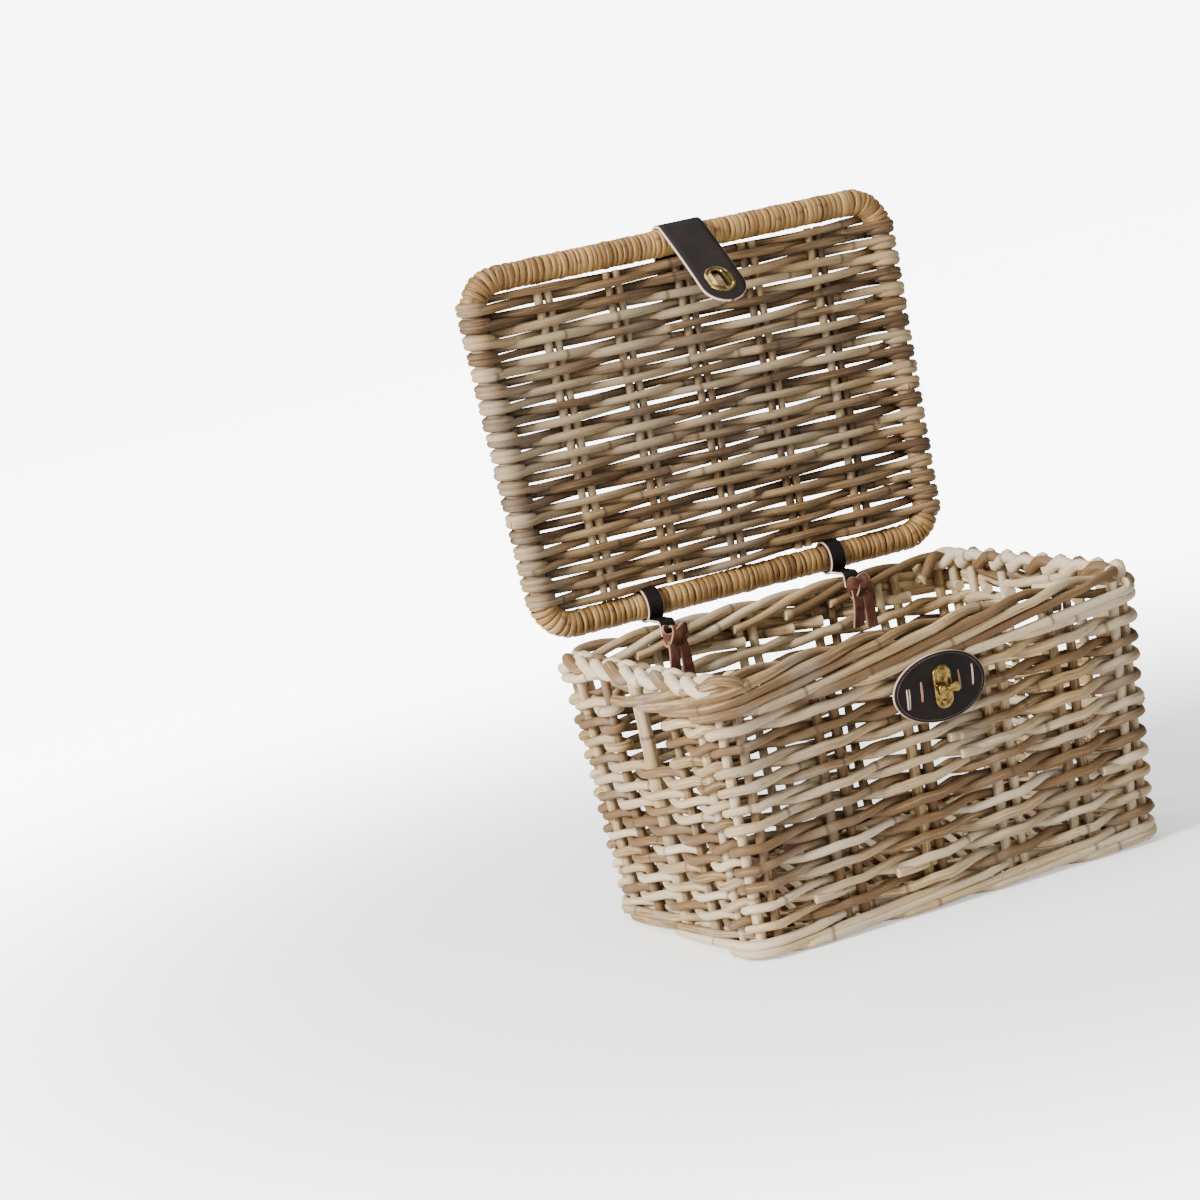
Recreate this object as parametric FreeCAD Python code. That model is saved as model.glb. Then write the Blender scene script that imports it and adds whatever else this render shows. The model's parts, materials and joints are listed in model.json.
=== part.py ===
import FreeCAD, Part
import math
import os

from FreeCAD import Vector

# Rectangular cane basket with a tied lid, for the front carrier of a bicycle.
# Units are mm. The origin is the middle of the base, on the surface it stands on.
# +X runs along the long front face, the front face looks to -Y, +Z is up.
# The lid stands open, leaning back a little, hinged on the rear border.

os.makedirs("parts", exist_ok=True)

# ---- body: driving dimensions ----
HEIGHT = 228.0              # top of the rolled border
TOP_LENGTH = 400.0          # outside the border, along X
TOP_DEPTH = 300.0           # outside the border, along Y
FOOT_LENGTH = 384.0         # outside the foot border
FOOT_DEPTH = 268.0
BORDER_THICKNESS = 22.0     # rolled border, across the wall
BORDER_HEIGHT = 36.0
FOOT_THICKNESS = 24.0
FOOT_HEIGHT = 20.0
WALL = 20.0                 # woven wall, outside to outside of the weavers
CORNER_RADIUS = 18.0        # middle of the wall
CLEARANCE = 0.15            # round each cane in its channel

# ---- canes that stand in the wall ----
STAKE_RADIUS = 4.2
STAKE_PAIR_GAP = 15.0       # between the two canes of a pair
FRONT_PAIRS = (-0.52, -0.11, 0.285, 0.635)  # shares of the wall's half length
END_STAKES = (-104.0, -56.0, 56.0, 104.0)   # Y at the middle height
STAKE_FOOT = 6.0
STAKE_TOP = HEIGHT - 12.0
HANDLE_POST_RADIUS = 6.0

# ---- handle hole in each end ----
HOLE_HALF_WIDTH = 44.0
HOLE_BOTTOM = 146.0
HOLE_TOP = HEIGHT - BORDER_HEIGHT

# ---- base ----
BASE_THICKNESS = 18.0
BASE_STICK_RADIUS = 5.0
BASE_STICK_PITCH = 48.0
BASE_STICK_COUNT = 4

# ---- lid, measured from the centre of its rear bar ----
HINGE_Y = 157.0
HINGE_Z = HEIGHT + 14.0
OPEN_ANGLE = 92.0           # from closed to the open rest position
LID_SPAN = 292.0            # rear bar centre to front bar centre
LID_REAR_HALF = 184.0       # to the side rails' centres, at the rear bar
LID_FRONT_HALF = 194.0      # and at the front bar
LID_SHIFT = -4.0            # the lid's middle, from the body's middle
LID_CORNER = 26.0           # bend radius of the bars
BAR_RADIUS = 9.0
WRAP_RADIUS = 12.0
RAIL_RADIUS = 8.0
EDGE_RADIUS = 12.8          # weavers turned round the side rails
LID_HALF_THICKNESS = 9.0
RIB_RADIUS = 4.0
RIB_PAIR_GAP = 9.2
RIB_PAIRS = 5

# ---- leather closing strap ----
STRAP_WIDTH = 40.0
STRAP_X = -LID_SHIFT        # from the lid's middle, so that the strap meets the lock
STRAP_THICKNESS = 3.0
STRAP_INNER = WRAP_RADIUS + 0.4
STRAP_LEAVES = 134.0        # angle round the front bar, from the lid's outer face
STRAP_TIP = 95.0            # from the bar's centre line to the tip
EYELET_AT = 70.0
ANCHOR_LENGTH = 56.0        # on the lid's outer face
SLOT_LENGTH = 21.0
SLOT_WIDTH = 9.0
EYELET_LENGTH = 31.0
EYELET_WIDTH = 25.0
ROOT_ARC = 8.0              # bent part of the tongue, in degrees round the bar
FLEX_ROOM = 60.0            # free of leather, for the strap's swing

# ---- lock on the front wall ----
LOCK_Z = 175.0
LOCK_STANDOFF = 1.3         # from the wall, so that the patch clears the border
PATCH_HALF_HEIGHT = 27.5
PATCH_LEFT = 43.5
PATCH_RIGHT = 38.5
BACKING_THICKNESS = 0.6
PATCH_THICKNESS = 2.5
PLATE_THICKNESS = 1.5
KNOB_BASE = 11.7            # above the wall
KNOB_HEIGHT = 4.5
KNOB_LENGTH = 19.0
KNOB_WIDTH = 7.5
PLATE_LENGTH = 35.0
PLATE_WIDTH = 16.0
SCREW_Y = 12.5
SPINDLE_RADIUS = 2.5
SCREW_RADIUS = 1.4
SCREW_HEAD_RADIUS = 2.4
LACE_PLACES = ((-31.0, -3.0), (-19.0, 0.0), (15.0, 2.0), (27.0, 3.0))
LACE_LENGTH = 17.0

# ---- leather hinge ties ----
TIE_PLACES = (("left", -95.0), ("right", 81.0))
TIE_WIDTH = 14.0
KNOT_RADIUS = 8.0
TAIL_LENGTH = 38.0
TIE_INNER = WRAP_RADIUS + 0.4
TIE_OUTER = 14.8

BIG = 600.0


def export(name, shape):
    """Write one sub-part, after checking that it is closed and valid."""
    if not shape.isValid() or shape.Volume <= 0:
        raise ValueError(name + " is not a valid solid")
    shape.exportStep("parts/" + name + ".step")
    print(name, len(shape.Solids), round(shape.Volume))


def group(shapes):
    """Separate solids that share one node."""
    return Part.makeCompound(shapes)


def cut_all(shape, tools):
    return shape.cut(Part.makeCompound(tools)) if tools else shape


# ---- the wall's middle surface ----

def half_length(z):
    foot = (FOOT_LENGTH - FOOT_THICKNESS) / 2
    top = (TOP_LENGTH - BORDER_THICKNESS) / 2
    return foot + (top - foot) * z / HEIGHT


def half_depth(z):
    foot = (FOOT_DEPTH - FOOT_THICKNESS) / 2
    top = (TOP_DEPTH - BORDER_THICKNESS) / 2
    return foot + (top - foot) * z / HEIGHT


def rounded_rectangle(half_x, half_y, radius, z):
    """Closed wire of four sides and four corner arcs, at height z."""
    edges = []
    corners = ((1, 1, 0), (-1, 1, 90), (-1, -1, 180), (1, -1, 270))
    arcs = []
    for sx, sy, start in corners:
        centre = Vector(sx * (half_x - radius), sy * (half_y - radius), z)
        points = []
        for turn in (0, 45, 90):
            angle = math.radians(start + turn)
            points.append(centre + Vector(math.cos(angle), math.sin(angle), 0) * radius)
        arcs.append(points)
    for index, points in enumerate(arcs):
        edges.append(Part.Arc(*points).toShape())
        following = arcs[(index + 1) % 4]
        edges.append(Part.makeLine(points[2], following[0]))
    return Part.Wire(edges)


def wall_ring(low, high, half_thickness):
    """Closed ring of wall between two heights."""
    outlines = []
    for offset in (half_thickness, -half_thickness):
        radius = CORNER_RADIUS + offset
        wires = [rounded_rectangle(half_length(z) + offset, half_depth(z) + offset, radius, z)
                 for z in (low, high)]
        outlines.append(Part.makeLoft(wires, True, True))
    return outlines[0].cut(outlines[1])


def side_region(side, gap=0.0):
    """Prism that holds one side of the ring, cut along the corner diagonals."""
    middle = HEIGHT / 2
    cx = half_length(middle) - CORNER_RADIUS
    cy = half_depth(middle) - CORNER_RADIUS
    reach = 120.0
    if side in ("front", "rear"):
        sign = -1 if side == "front" else 1
        points = [(-cx + gap, sign * cy), (cx - gap, sign * cy),
                  (cx - gap + reach, sign * (cy + reach)), (-cx + gap - reach, sign * (cy + reach))]
    else:
        sign = -1 if side == "left" else 1
        points = [(sign * cx, -cy + gap), (sign * cx, cy - gap),
                  (sign * (cx + reach), cy - gap + reach), (sign * (cx + reach), -cy + gap - reach)]
    corners = [Vector(x, y, -1) for x, y in points]
    face = Part.Face(Part.makePolygon(corners + corners[:1]))
    return face.extrude(Vector(0, 0, HEIGHT + 2))


SIDES = ("front", "rear", "left", "right")


# ---- canes that stand in the wall ----

def cane(start, end, radius):
    return Part.makeCylinder(radius, (end - start).Length, start, end - start)


def standing_cane(place, radius, low=STAKE_FOOT, high=STAKE_TOP):
    """A cane from low to high, following the lean of the wall."""
    return cane(place(low), place(high), radius)


def long_side_place(share, offset, sign):
    def place(z):
        return Vector(share * half_length(z) + offset, sign * half_depth(z), z)
    return place


def end_place(y, sign):
    def place(z):
        return Vector(sign * half_length(z), y * half_depth(z) / half_depth(HEIGHT / 2), z)
    return place


def corner_place(sx, sy, angle):
    """A place on the corner's bend, at angle degrees from the long face."""
    def place(z):
        x = half_length(z) - CORNER_RADIUS * (1 - math.sin(math.radians(angle)))
        y = half_depth(z) - CORNER_RADIUS * (1 - math.cos(math.radians(angle)))
        return Vector(sx * x, sy * y, z)
    return place


stake_places = {"front": [], "rear": [], "left": [], "right": [], "corner": []}
for share in FRONT_PAIRS:
    for offset in (-STAKE_PAIR_GAP / 2, STAKE_PAIR_GAP / 2):
        stake_places["front"].append(long_side_place(share, offset, -1))
        stake_places["rear"].append(long_side_place(share, offset, 1))
for y in END_STAKES:
    stake_places["left"].append(end_place(y, -1))
    stake_places["right"].append(end_place(y, 1))
for sx in (-1, 1):
    for sy in (-1, 1):
        for angle in (0, 45):
            stake_places["corner"].append(corner_place(sx, sy, angle))

stakes = {name: [standing_cane(place, STAKE_RADIUS) for place in places]
          for name, places in stake_places.items()}
channels = [standing_cane(place, STAKE_RADIUS + CLEARANCE)
            for places in stake_places.values() for place in places]
handle_posts = {}
for name, sign in (("left", -1), ("right", 1)):
    handle_posts[name] = standing_cane(end_place(0.0, sign), HANDLE_POST_RADIUS)
    channels.append(standing_cane(end_place(0.0, sign), HANDLE_POST_RADIUS + CLEARANCE))

for side in SIDES:
    export(side + "_stakes", group(stakes[side]))
export("corner_posts", group(stakes["corner"]))
export("left_handle_post", handle_posts["left"])
export("right_handle_post", handle_posts["right"])


# ---- base ----

base_sticks = []
base_channels = []
stick_half = half_length(0) - FOOT_THICKNESS / 2 + 8.0
for index in range(BASE_STICK_COUNT):
    y = (index - (BASE_STICK_COUNT - 1) / 2) * BASE_STICK_PITCH
    start = Vector(-stick_half, y, BASE_THICKNESS / 2)
    end = Vector(stick_half, y, BASE_THICKNESS / 2)
    base_sticks.append(cane(start, end, BASE_STICK_RADIUS))
    base_channels.append(cane(start, end, BASE_STICK_RADIUS + CLEARANCE))

base_inset = FOOT_THICKNESS / 2 + 0.2
base_outline = [rounded_rectangle(half_length(z) - base_inset, half_depth(z) - base_inset,
                                  CORNER_RADIUS - base_inset, z)
                for z in (0.0, BASE_THICKNESS)]
base_weave = cut_all(Part.makeLoft(base_outline, True, True), base_channels)
export("base_sticks", group(base_sticks))
export("base_weave", base_weave)


# ---- foot border, woven walls and top border, side by side ----

foot_ring = cut_all(wall_ring(0.0, FOOT_HEIGHT, FOOT_THICKNESS / 2), channels + base_channels)
export("foot_border", group([foot_ring.common(side_region(side, 0.2)).Solids[0] for side in SIDES]))

wall = cut_all(wall_ring(FOOT_HEIGHT, HEIGHT - BORDER_HEIGHT, WALL / 2), channels)
hole = Part.makeBox(BIG, 2 * HOLE_HALF_WIDTH, HOLE_TOP - HOLE_BOTTOM,
                    Vector(-BIG / 2, -HOLE_HALF_WIDTH, HOLE_BOTTOM))
border = cut_all(wall_ring(HEIGHT - BORDER_HEIGHT, HEIGHT, BORDER_THICKNESS / 2), channels)
for side in SIDES:
    weave = wall.common(side_region(side))
    if side in ("left", "right"):
        weave = weave.cut(hole)
    export(side + "_weave", weave)
    export(side + "_border", border.common(side_region(side)))


# ---- lid, made flat and then opened ----

FAN = math.atan((LID_FRONT_HALF - LID_REAR_HALF) / LID_SPAN)


def lid_half(along):
    """Half width between the side rails' centre lines."""
    return LID_REAR_HALF + (LID_FRONT_HALF - LID_REAR_HALF) * along / LID_SPAN


def lid_point(x, along, rise=0.0):
    """A point of the closed lid: along runs from the rear bar to the front bar."""
    return Vector(x + LID_SHIFT, HINGE_Y - along, HINGE_Z + rise)


def opened(shape):
    turned = shape.copy()
    turned.rotate(lid_point(0, 0), Vector(1, 0, 0), -OPEN_ANGLE)
    return turned


def corner_bend(sx, front, radius, rise=0.0):
    """Three points of a bend of the frame, from the rail to the bar."""
    outward = 1 if front else -1
    along = LID_SPAN - LID_CORNER if front else LID_CORNER
    centre_x = lid_half(along) - LID_CORNER / math.cos(FAN)
    rail_side = Vector(math.cos(FAN), -math.sin(FAN), 0)
    bar_side = Vector(0, outward, 0)
    between = (rail_side + bar_side).normalize()
    return [lid_point(sx * (centre_x + radius * way.x), along + radius * way.y, rise)
            for way in (rail_side, between, bar_side)]


def bar_path(front):
    """Centre line of a bar: the straight run and its two bent corners."""
    left = corner_bend(-1, front, LID_CORNER)
    right = corner_bend(1, front, LID_CORNER)
    edges = [Part.Arc(*left).toShape(), Part.makeLine(left[2], right[2]),
             Part.Arc(*right).toShape()]
    return Part.Wire(Part.sortEdges(edges)[0])


def round_bar(path, radius):
    start = path.OrderedVertexes[0].Point
    side = 1 if start.x > LID_SHIFT else -1
    along_rail = Vector(side * math.sin(FAN), -math.cos(FAN), 0)
    profile = Part.Wire(Part.makeCircle(radius, start, along_rail))
    return path.makePipeShell([profile], True, True)


def rail(sx, radius, gap=0.0):
    """A round piece on a side rail's centre line, between the bent corners."""
    start = corner_bend(sx, False, LID_CORNER)[0]
    end = corner_bend(sx, True, LID_CORNER)[0]
    along_rail = (end - start).normalize()
    return cane(start + along_rail * gap, end - along_rail * gap, radius)


lid_parts = {}
for name, front in (("front", True), ("rear", False)):
    path = bar_path(front)
    lid_parts["lid_" + name + "_bar"] = round_bar(path, BAR_RADIUS)
    wrap = round_bar(path, WRAP_RADIUS).cut(round_bar(path, BAR_RADIUS + CLEARANCE))
    lid_parts["lid_" + name + "_wrap"] = wrap
lid_parts["lid_left_rail"] = rail(-1, RAIL_RADIUS)
lid_parts["lid_right_rail"] = rail(1, RAIL_RADIUS)

panel_gap = 0.2
rib_from = WRAP_RADIUS + panel_gap
rib_to = LID_SPAN - WRAP_RADIUS - panel_gap
ribs = []
rib_channels = []
for index in range(RIB_PAIRS):
    share = 2 * (index + 1) / (RIB_PAIRS + 1) - 1
    for offset in (-RIB_PAIR_GAP / 2, RIB_PAIR_GAP / 2):
        start = lid_point(share * lid_half(rib_from) + offset, rib_from)
        end = lid_point(share * lid_half(rib_to) + offset, rib_to)
        ribs.append(cane(start, end, RIB_RADIUS))
        rib_channels.append(cane(start, end, RIB_RADIUS + CLEARANCE))
lid_parts["lid_ribs"] = group(ribs)

panel_radius = LID_CORNER - WRAP_RADIUS - panel_gap
bends = []
for sx, front in ((-1, False), (-1, True), (1, True), (1, False)):
    bend = corner_bend(sx, front, panel_radius, -LID_HALF_THICKNESS)
    from_bar = front == (sx > 0)
    bends.append(bend[::-1] if from_bar else bend)
panel_edges = []
for index, bend in enumerate(bends):
    panel_edges.append(Part.Arc(*bend).toShape())
    panel_edges.append(Part.makeLine(bend[2], bends[(index + 1) % 4][0]))
lid_weave = Part.Face(Part.Wire(panel_edges)).extrude(Vector(0, 0, 2 * LID_HALF_THICKNESS))
edge_gap = 0.3
for sx in (-1, 1):
    lid_weave = lid_weave.fuse(rail(sx, EDGE_RADIUS, edge_gap))
    lid_weave = lid_weave.cut(rail(sx, RAIL_RADIUS + CLEARANCE))
tie_rooms = []
for name, tie_x in TIE_PLACES:
    start = Vector(tie_x - TIE_WIDTH / 2 - 0.6, HINGE_Y, HINGE_Z)
    tie_rooms.append(Part.makeCylinder(TIE_OUTER + 0.5, TIE_WIDTH + 1.2, start, Vector(1, 0, 0)))
lid_parts["lid_weave"] = cut_all(lid_weave, rib_channels + tie_rooms)

for name, shape in lid_parts.items():
    export(name, opened(shape))


# ---- closing strap, wrapped over the front bar ----

def strap_arc(start, end):
    """Leather bent round the front bar, between two angles from the lid's outer face."""
    centre = lid_point(STRAP_X - STRAP_WIDTH / 2, LID_SPAN)
    points = []
    for radius, angles in ((STRAP_INNER, (start, (start + end) / 2, end)),
                           (STRAP_INNER + STRAP_THICKNESS, (end, (start + end) / 2, start))):
        row = []
        for angle in angles:
            turn = math.radians(angle)
            row.append(centre + Vector(0, -math.sin(turn), math.cos(turn)) * radius)
        points.append(row)
    edges = [Part.Arc(*points[0]).toShape(), Part.makeLine(points[0][2], points[1][0]),
             Part.Arc(*points[1]).toShape(), Part.makeLine(points[1][2], points[0][0])]
    return Part.Face(Part.Wire(edges)).extrude(Vector(STRAP_WIDTH, 0, 0))


def tongue_frame(shape):
    """Put a shape drawn flat on the tongue: X across, Y along from the bar, Z outward."""
    placed = shape.copy()
    placed.rotate(Vector(0, 0, 0), Vector(0, 0, 1), 180.0)
    placed.rotate(Vector(0, 0, 0), Vector(1, 0, 0), STRAP_LEAVES)
    placed.translate(lid_point(STRAP_X, LID_SPAN))
    return placed


def stadium(length, width, low, high):
    """A slot-shaped prism, long along Y."""
    straight = (length - width) / 2
    half = width / 2
    right = (Vector(half, -straight, low), Vector(half, straight, low))
    left = (Vector(-half, straight, low), Vector(-half, -straight, low))
    top_arc = Part.Arc(right[1], Vector(0, straight + half, low), left[0]).toShape()
    bottom_arc = Part.Arc(left[1], Vector(0, -straight - half, low), right[0]).toShape()
    wire = Part.Wire([Part.makeLine(*right), top_arc, Part.makeLine(*left), bottom_arc])
    return Part.Face(wire).extrude(Vector(0, 0, high - low))


tongue_low = STRAP_INNER
tongue_high = STRAP_INNER + STRAP_THICKNESS
anchor = strap_arc(0.0, STRAP_LEAVES - ROOT_ARC - FLEX_ROOM)
anchor_flat = Part.makeBox(STRAP_WIDTH, ANCHOR_LENGTH, STRAP_THICKNESS,
                           lid_point(STRAP_X - STRAP_WIDTH / 2, LID_SPAN, STRAP_INNER))
export("strap_anchor", opened(anchor.fuse(anchor_flat)))

lace_x = STRAP_WIDTH / 2 - 9.0
anchor_laces = []
for sx in (-1, 1):
    corner = lid_point(STRAP_X + sx * lace_x - 1.2, LID_SPAN - ANCHOR_LENGTH + 24.0, tongue_high)
    anchor_laces.append(Part.makeBox(2.4, 16.0, 1.4, corner))
export("strap_anchor_laces", opened(group(anchor_laces)))

tip_radius = STRAP_WIDTH / 2
flat_end = STRAP_TIP - tip_radius
outline = [Vector(-tip_radius, 0, tongue_low), Vector(-tip_radius, flat_end, tongue_low),
           Vector(tip_radius, flat_end, tongue_low), Vector(tip_radius, 0, tongue_low)]
tongue_wire = Part.Wire([Part.makeLine(outline[0], outline[1]),
                         Part.Arc(outline[1], Vector(0, STRAP_TIP, tongue_low), outline[2]).toShape(),
                         Part.makeLine(outline[2], outline[3]),
                         Part.makeLine(outline[3], outline[0])])
tongue = Part.Face(tongue_wire).extrude(Vector(0, 0, STRAP_THICKNESS))
slot = stadium(SLOT_LENGTH + 1.0, SLOT_WIDTH + 1.0, tongue_low - 5, tongue_high + 5)
slot.translate(Vector(0, EYELET_AT, 0))
tongue = tongue_frame(tongue.cut(slot)).fuse(strap_arc(STRAP_LEAVES - ROOT_ARC, STRAP_LEAVES))
export("strap_tongue", opened(tongue))


def eyelet_plate(low, high, rim):
    """Oval brass plate round the slot; rim raises a lip at the slot's edge."""
    plate = stadium(EYELET_LENGTH, EYELET_WIDTH, low, high)
    if rim:
        plate = plate.fuse(stadium(SLOT_LENGTH + 4.0, SLOT_WIDTH + 4.0, high, high + rim))
    return plate.cut(stadium(SLOT_LENGTH, SLOT_WIDTH, low - 1, high + rim + 1))


for name, low, high, rim in (("eyelet_plate", tongue_high, tongue_high + 1.2, 0.6),
                             ("eyelet_back_plate", tongue_low - 0.8, tongue_low, 0.0)):
    plate = eyelet_plate(low, high, rim)
    plate.translate(Vector(0, EYELET_AT, 0))
    export(name, opened(tongue_frame(plate)))


# ---- turn lock on an oval leather patch ----

wall_lean = math.degrees(math.atan((half_depth(HEIGHT) - half_depth(0)) / HEIGHT))
lock_origin = Vector(0, -half_depth(LOCK_Z) - WALL / 2 / math.cos(math.radians(wall_lean)), LOCK_Z)


def on_front_wall(shape):
    """Put a shape on the front wall: X along, Y up the wall, Z outward."""
    placed = shape.copy()
    placed.rotate(Vector(0, 0, 0), Vector(1, 0, 0), 90.0 + wall_lean)
    placed.translate(lock_origin)
    return placed


def egg_wire(z):
    """Egg outline of two half ellipses."""
    edges = []
    for reach, start in ((PATCH_RIGHT, -math.pi / 2), (PATCH_LEFT, math.pi / 2)):
        ellipse = Part.Ellipse(Vector(0, 0, z), reach, PATCH_HALF_HEIGHT)
        edges.append(ellipse.toShape(start, start + math.pi))
    return Part.Wire(edges)


def disc(radius, low, high, x=0.0, y=0.0):
    return Part.makeCylinder(radius, high - low, Vector(x, y, low))


backing_low = LOCK_STANDOFF
patch_low = backing_low + BACKING_THICKNESS
plate_low = patch_low + PATCH_THICKNESS
plate_high = plate_low + PLATE_THICKNESS
screw_places = (-SCREW_Y, SCREW_Y)
screw_holes = [disc(SCREW_RADIUS + 0.05, 0, plate_high + 1, 0, y) for y in screw_places]
head_rooms = [disc(SCREW_HEAD_RADIUS + 0.1, plate_high - 0.7, plate_high + 1, 0, y) for y in screw_places]
lace_slits = [Part.makeBox(1.6, LACE_LENGTH, PATCH_THICKNESS + 2,
                           Vector(x - 0.8, y - LACE_LENGTH / 2, patch_low - 1))
              for x, y in LACE_PLACES]

patch = Part.Face(egg_wire(patch_low)).extrude(Vector(0, 0, PATCH_THICKNESS))
flange_room = disc(5.0, patch_low - 1, plate_low + 1)
patch = cut_all(patch, screw_holes + lace_slits + [flange_room])
backing = cut_all(stadium(PLATE_LENGTH - 1, PLATE_WIDTH - 1, backing_low, patch_low), screw_holes)
plate = stadium(PLATE_LENGTH, PLATE_WIDTH, plate_low, plate_high)
plate = cut_all(plate, screw_holes + head_rooms + [disc(SPINDLE_RADIUS + 0.06, 0, BIG)])
screws = []
for y in screw_places:
    head = disc(SCREW_HEAD_RADIUS, plate_high - 0.7, plate_high + 0.4, 0, y)
    screws.append(head.fuse(disc(SCREW_RADIUS, backing_low, plate_high - 0.7, 0, y)))
laces = []
for x, y in LACE_PLACES:
    leg = patch_low + 0.1
    bridge = Part.makeBox(1.3, LACE_LENGTH - 0.4, 1.2, Vector(x - 0.65, y - LACE_LENGTH / 2 + 0.2, plate_low))
    lace = bridge
    for end in (-1, 1):
        corner = Vector(x - 0.65, y + end * (LACE_LENGTH / 2 - 1.0) - 0.8, leg)
        lace = lace.fuse(Part.makeBox(1.3, 1.6, plate_low - leg, corner))
    laces.append(lace)

spindle = disc(SPINDLE_RADIUS, plate_low - 1.6, KNOB_BASE).fuse(disc(4.4, plate_low - 1.6, plate_low - 0.1))
knob = stadium(KNOB_LENGTH, KNOB_WIDTH, KNOB_BASE, KNOB_BASE + KNOB_HEIGHT)
knob.rotate(Vector(0, 0, 0), Vector(0, 0, 1), 90.0)
knob = knob.makeFillet(1.8, [edge for edge in knob.Edges if edge.BoundBox.ZMin > KNOB_BASE + 1.0])

for name, shape in (("lock_backing_plate", backing), ("lock_patch", patch),
                    ("lock_plate", plate), ("lock_screws", group(screws)),
                    ("patch_laces", group(laces)), ("turn_spindle", spindle),
                    ("turn_button", knob)):
    export(name, on_front_wall(shape))


# ---- leather ties that hinge the lid on the rear border ----

knot_z = HEIGHT - 10.0
border_inner = half_depth(knot_z) - BORDER_THICKNESS / 2
LEATHER = TIE_OUTER - TIE_INNER


def hinge_cylinder(radius, low_x, length):
    return Part.makeCylinder(radius, length, Vector(low_x, HINGE_Y, HINGE_Z), Vector(1, 0, 0))


for name, tie_x in TIE_PLACES:
    low_x = tie_x - TIE_WIDTH / 2
    ring = hinge_cylinder(TIE_OUTER, low_x, TIE_WIDTH).cut(hinge_cylinder(TIE_INNER, low_x, TIE_WIDTH))
    leg_y = border_inner - LEATHER - 0.2
    lap = Part.makeBox(TIE_WIDTH, HINGE_Y - leg_y, LEATHER, Vector(low_x, leg_y, HEIGHT + 0.2))
    lap = lap.cut(hinge_cylinder(TIE_INNER + 0.5, low_x, TIE_WIDTH))
    leg = Part.makeBox(TIE_WIDTH, LEATHER, HEIGHT + 0.2 + LEATHER - knot_z, Vector(low_x, leg_y, knot_z))
    export(name + "_hinge_band", ring.fuse(lap).fuse(leg))
    knot_y = leg_y - 0.4 - KNOT_RADIUS
    knot = Part.makeSphere(KNOT_RADIUS, Vector(tie_x, knot_y, knot_z))
    for offset in (-5.0, 5.0):
        corner = Vector(tie_x + offset - 4.0, knot_y - 1.5, knot_z - TAIL_LENGTH)
        knot = knot.fuse(Part.makeBox(8.0, 3.0, TAIL_LENGTH - 2.0, corner))
    export(name + "_hinge_knot", knot)
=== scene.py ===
import json
import math

import bmesh
import bpy
import numpy as np
from mathutils import Matrix, Vector


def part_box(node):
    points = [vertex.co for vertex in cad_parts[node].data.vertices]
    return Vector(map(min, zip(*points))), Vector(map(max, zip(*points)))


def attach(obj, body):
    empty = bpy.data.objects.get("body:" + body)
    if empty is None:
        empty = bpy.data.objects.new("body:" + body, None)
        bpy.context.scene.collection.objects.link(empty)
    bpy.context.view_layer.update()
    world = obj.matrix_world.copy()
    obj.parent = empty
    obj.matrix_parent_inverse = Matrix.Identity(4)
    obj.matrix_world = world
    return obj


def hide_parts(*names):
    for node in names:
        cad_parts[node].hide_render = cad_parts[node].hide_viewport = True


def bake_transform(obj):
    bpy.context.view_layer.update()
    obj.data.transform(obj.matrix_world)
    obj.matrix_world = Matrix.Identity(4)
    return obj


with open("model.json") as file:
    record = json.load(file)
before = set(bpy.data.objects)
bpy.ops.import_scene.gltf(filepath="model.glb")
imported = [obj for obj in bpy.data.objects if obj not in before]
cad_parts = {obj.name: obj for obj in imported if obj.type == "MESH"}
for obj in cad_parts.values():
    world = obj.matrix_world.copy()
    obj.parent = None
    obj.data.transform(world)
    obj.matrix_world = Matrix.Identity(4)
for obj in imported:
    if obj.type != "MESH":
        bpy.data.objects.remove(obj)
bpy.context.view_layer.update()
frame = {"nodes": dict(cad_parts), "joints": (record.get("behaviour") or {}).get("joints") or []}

scene = bpy.context.scene


# ---- the room ----
# A pale floor that fades into a white room, a strong soft lamp from the left, a weak one from the
# front right and one from above, and a camera a little higher than the open lid.

FLOOR_HALF = 6.0
FLOOR_COLOUR = (0.90, 0.90, 0.90, 1.0)
WHITE = (1.0, 1.0, 1.0, 1.0)
BACKGROUND_WHITE = 8.0
FLOOR_GLOW = 0.6
ROOM_LIGHT = 0.37
FADE_FROM, FADE_TO = 0.35, 1.6           # m from the basket: the floor fades into the white room
LAMPS = (  # place, aim, watts, side
    ((-3.1, -0.6, 1.6), (0.0, 0.0, 0.2), 330.0, 1.1),
    ((1.6, -2.6, 1.4), (0.0, 0.0, 0.25), 18.0, 1.8),
    ((0.0, 0.3, 2.9), (0.0, 0.0, 0.2), 62.0, 1.8),
)
CAMERA_PLACE = (-1.20296, -2.35962, 0.67420)
CAMERA_HEADING = math.radians(22.949)    # from +Y towards +X
CAMERA_DROP = math.radians(8.705)        # below the horizon
CAMERA_ROLL = math.radians(10.905)
CAMERA_LENS = 99.66                      # mm
CAMERA_SENSOR = 36.0                     # mm wide


def new_object(name, data):
    piece = bpy.data.objects.new(name, data)
    scene.collection.objects.link(piece)
    return piece


def new_material(name):
    """A material with its node tree and its Principled shader."""
    material = bpy.data.materials.new(name)
    material.use_nodes = True
    return material, material.node_tree, material.node_tree.nodes["Principled BSDF"]


def link(tree, source, target):
    tree.links.new(source, target)


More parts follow.
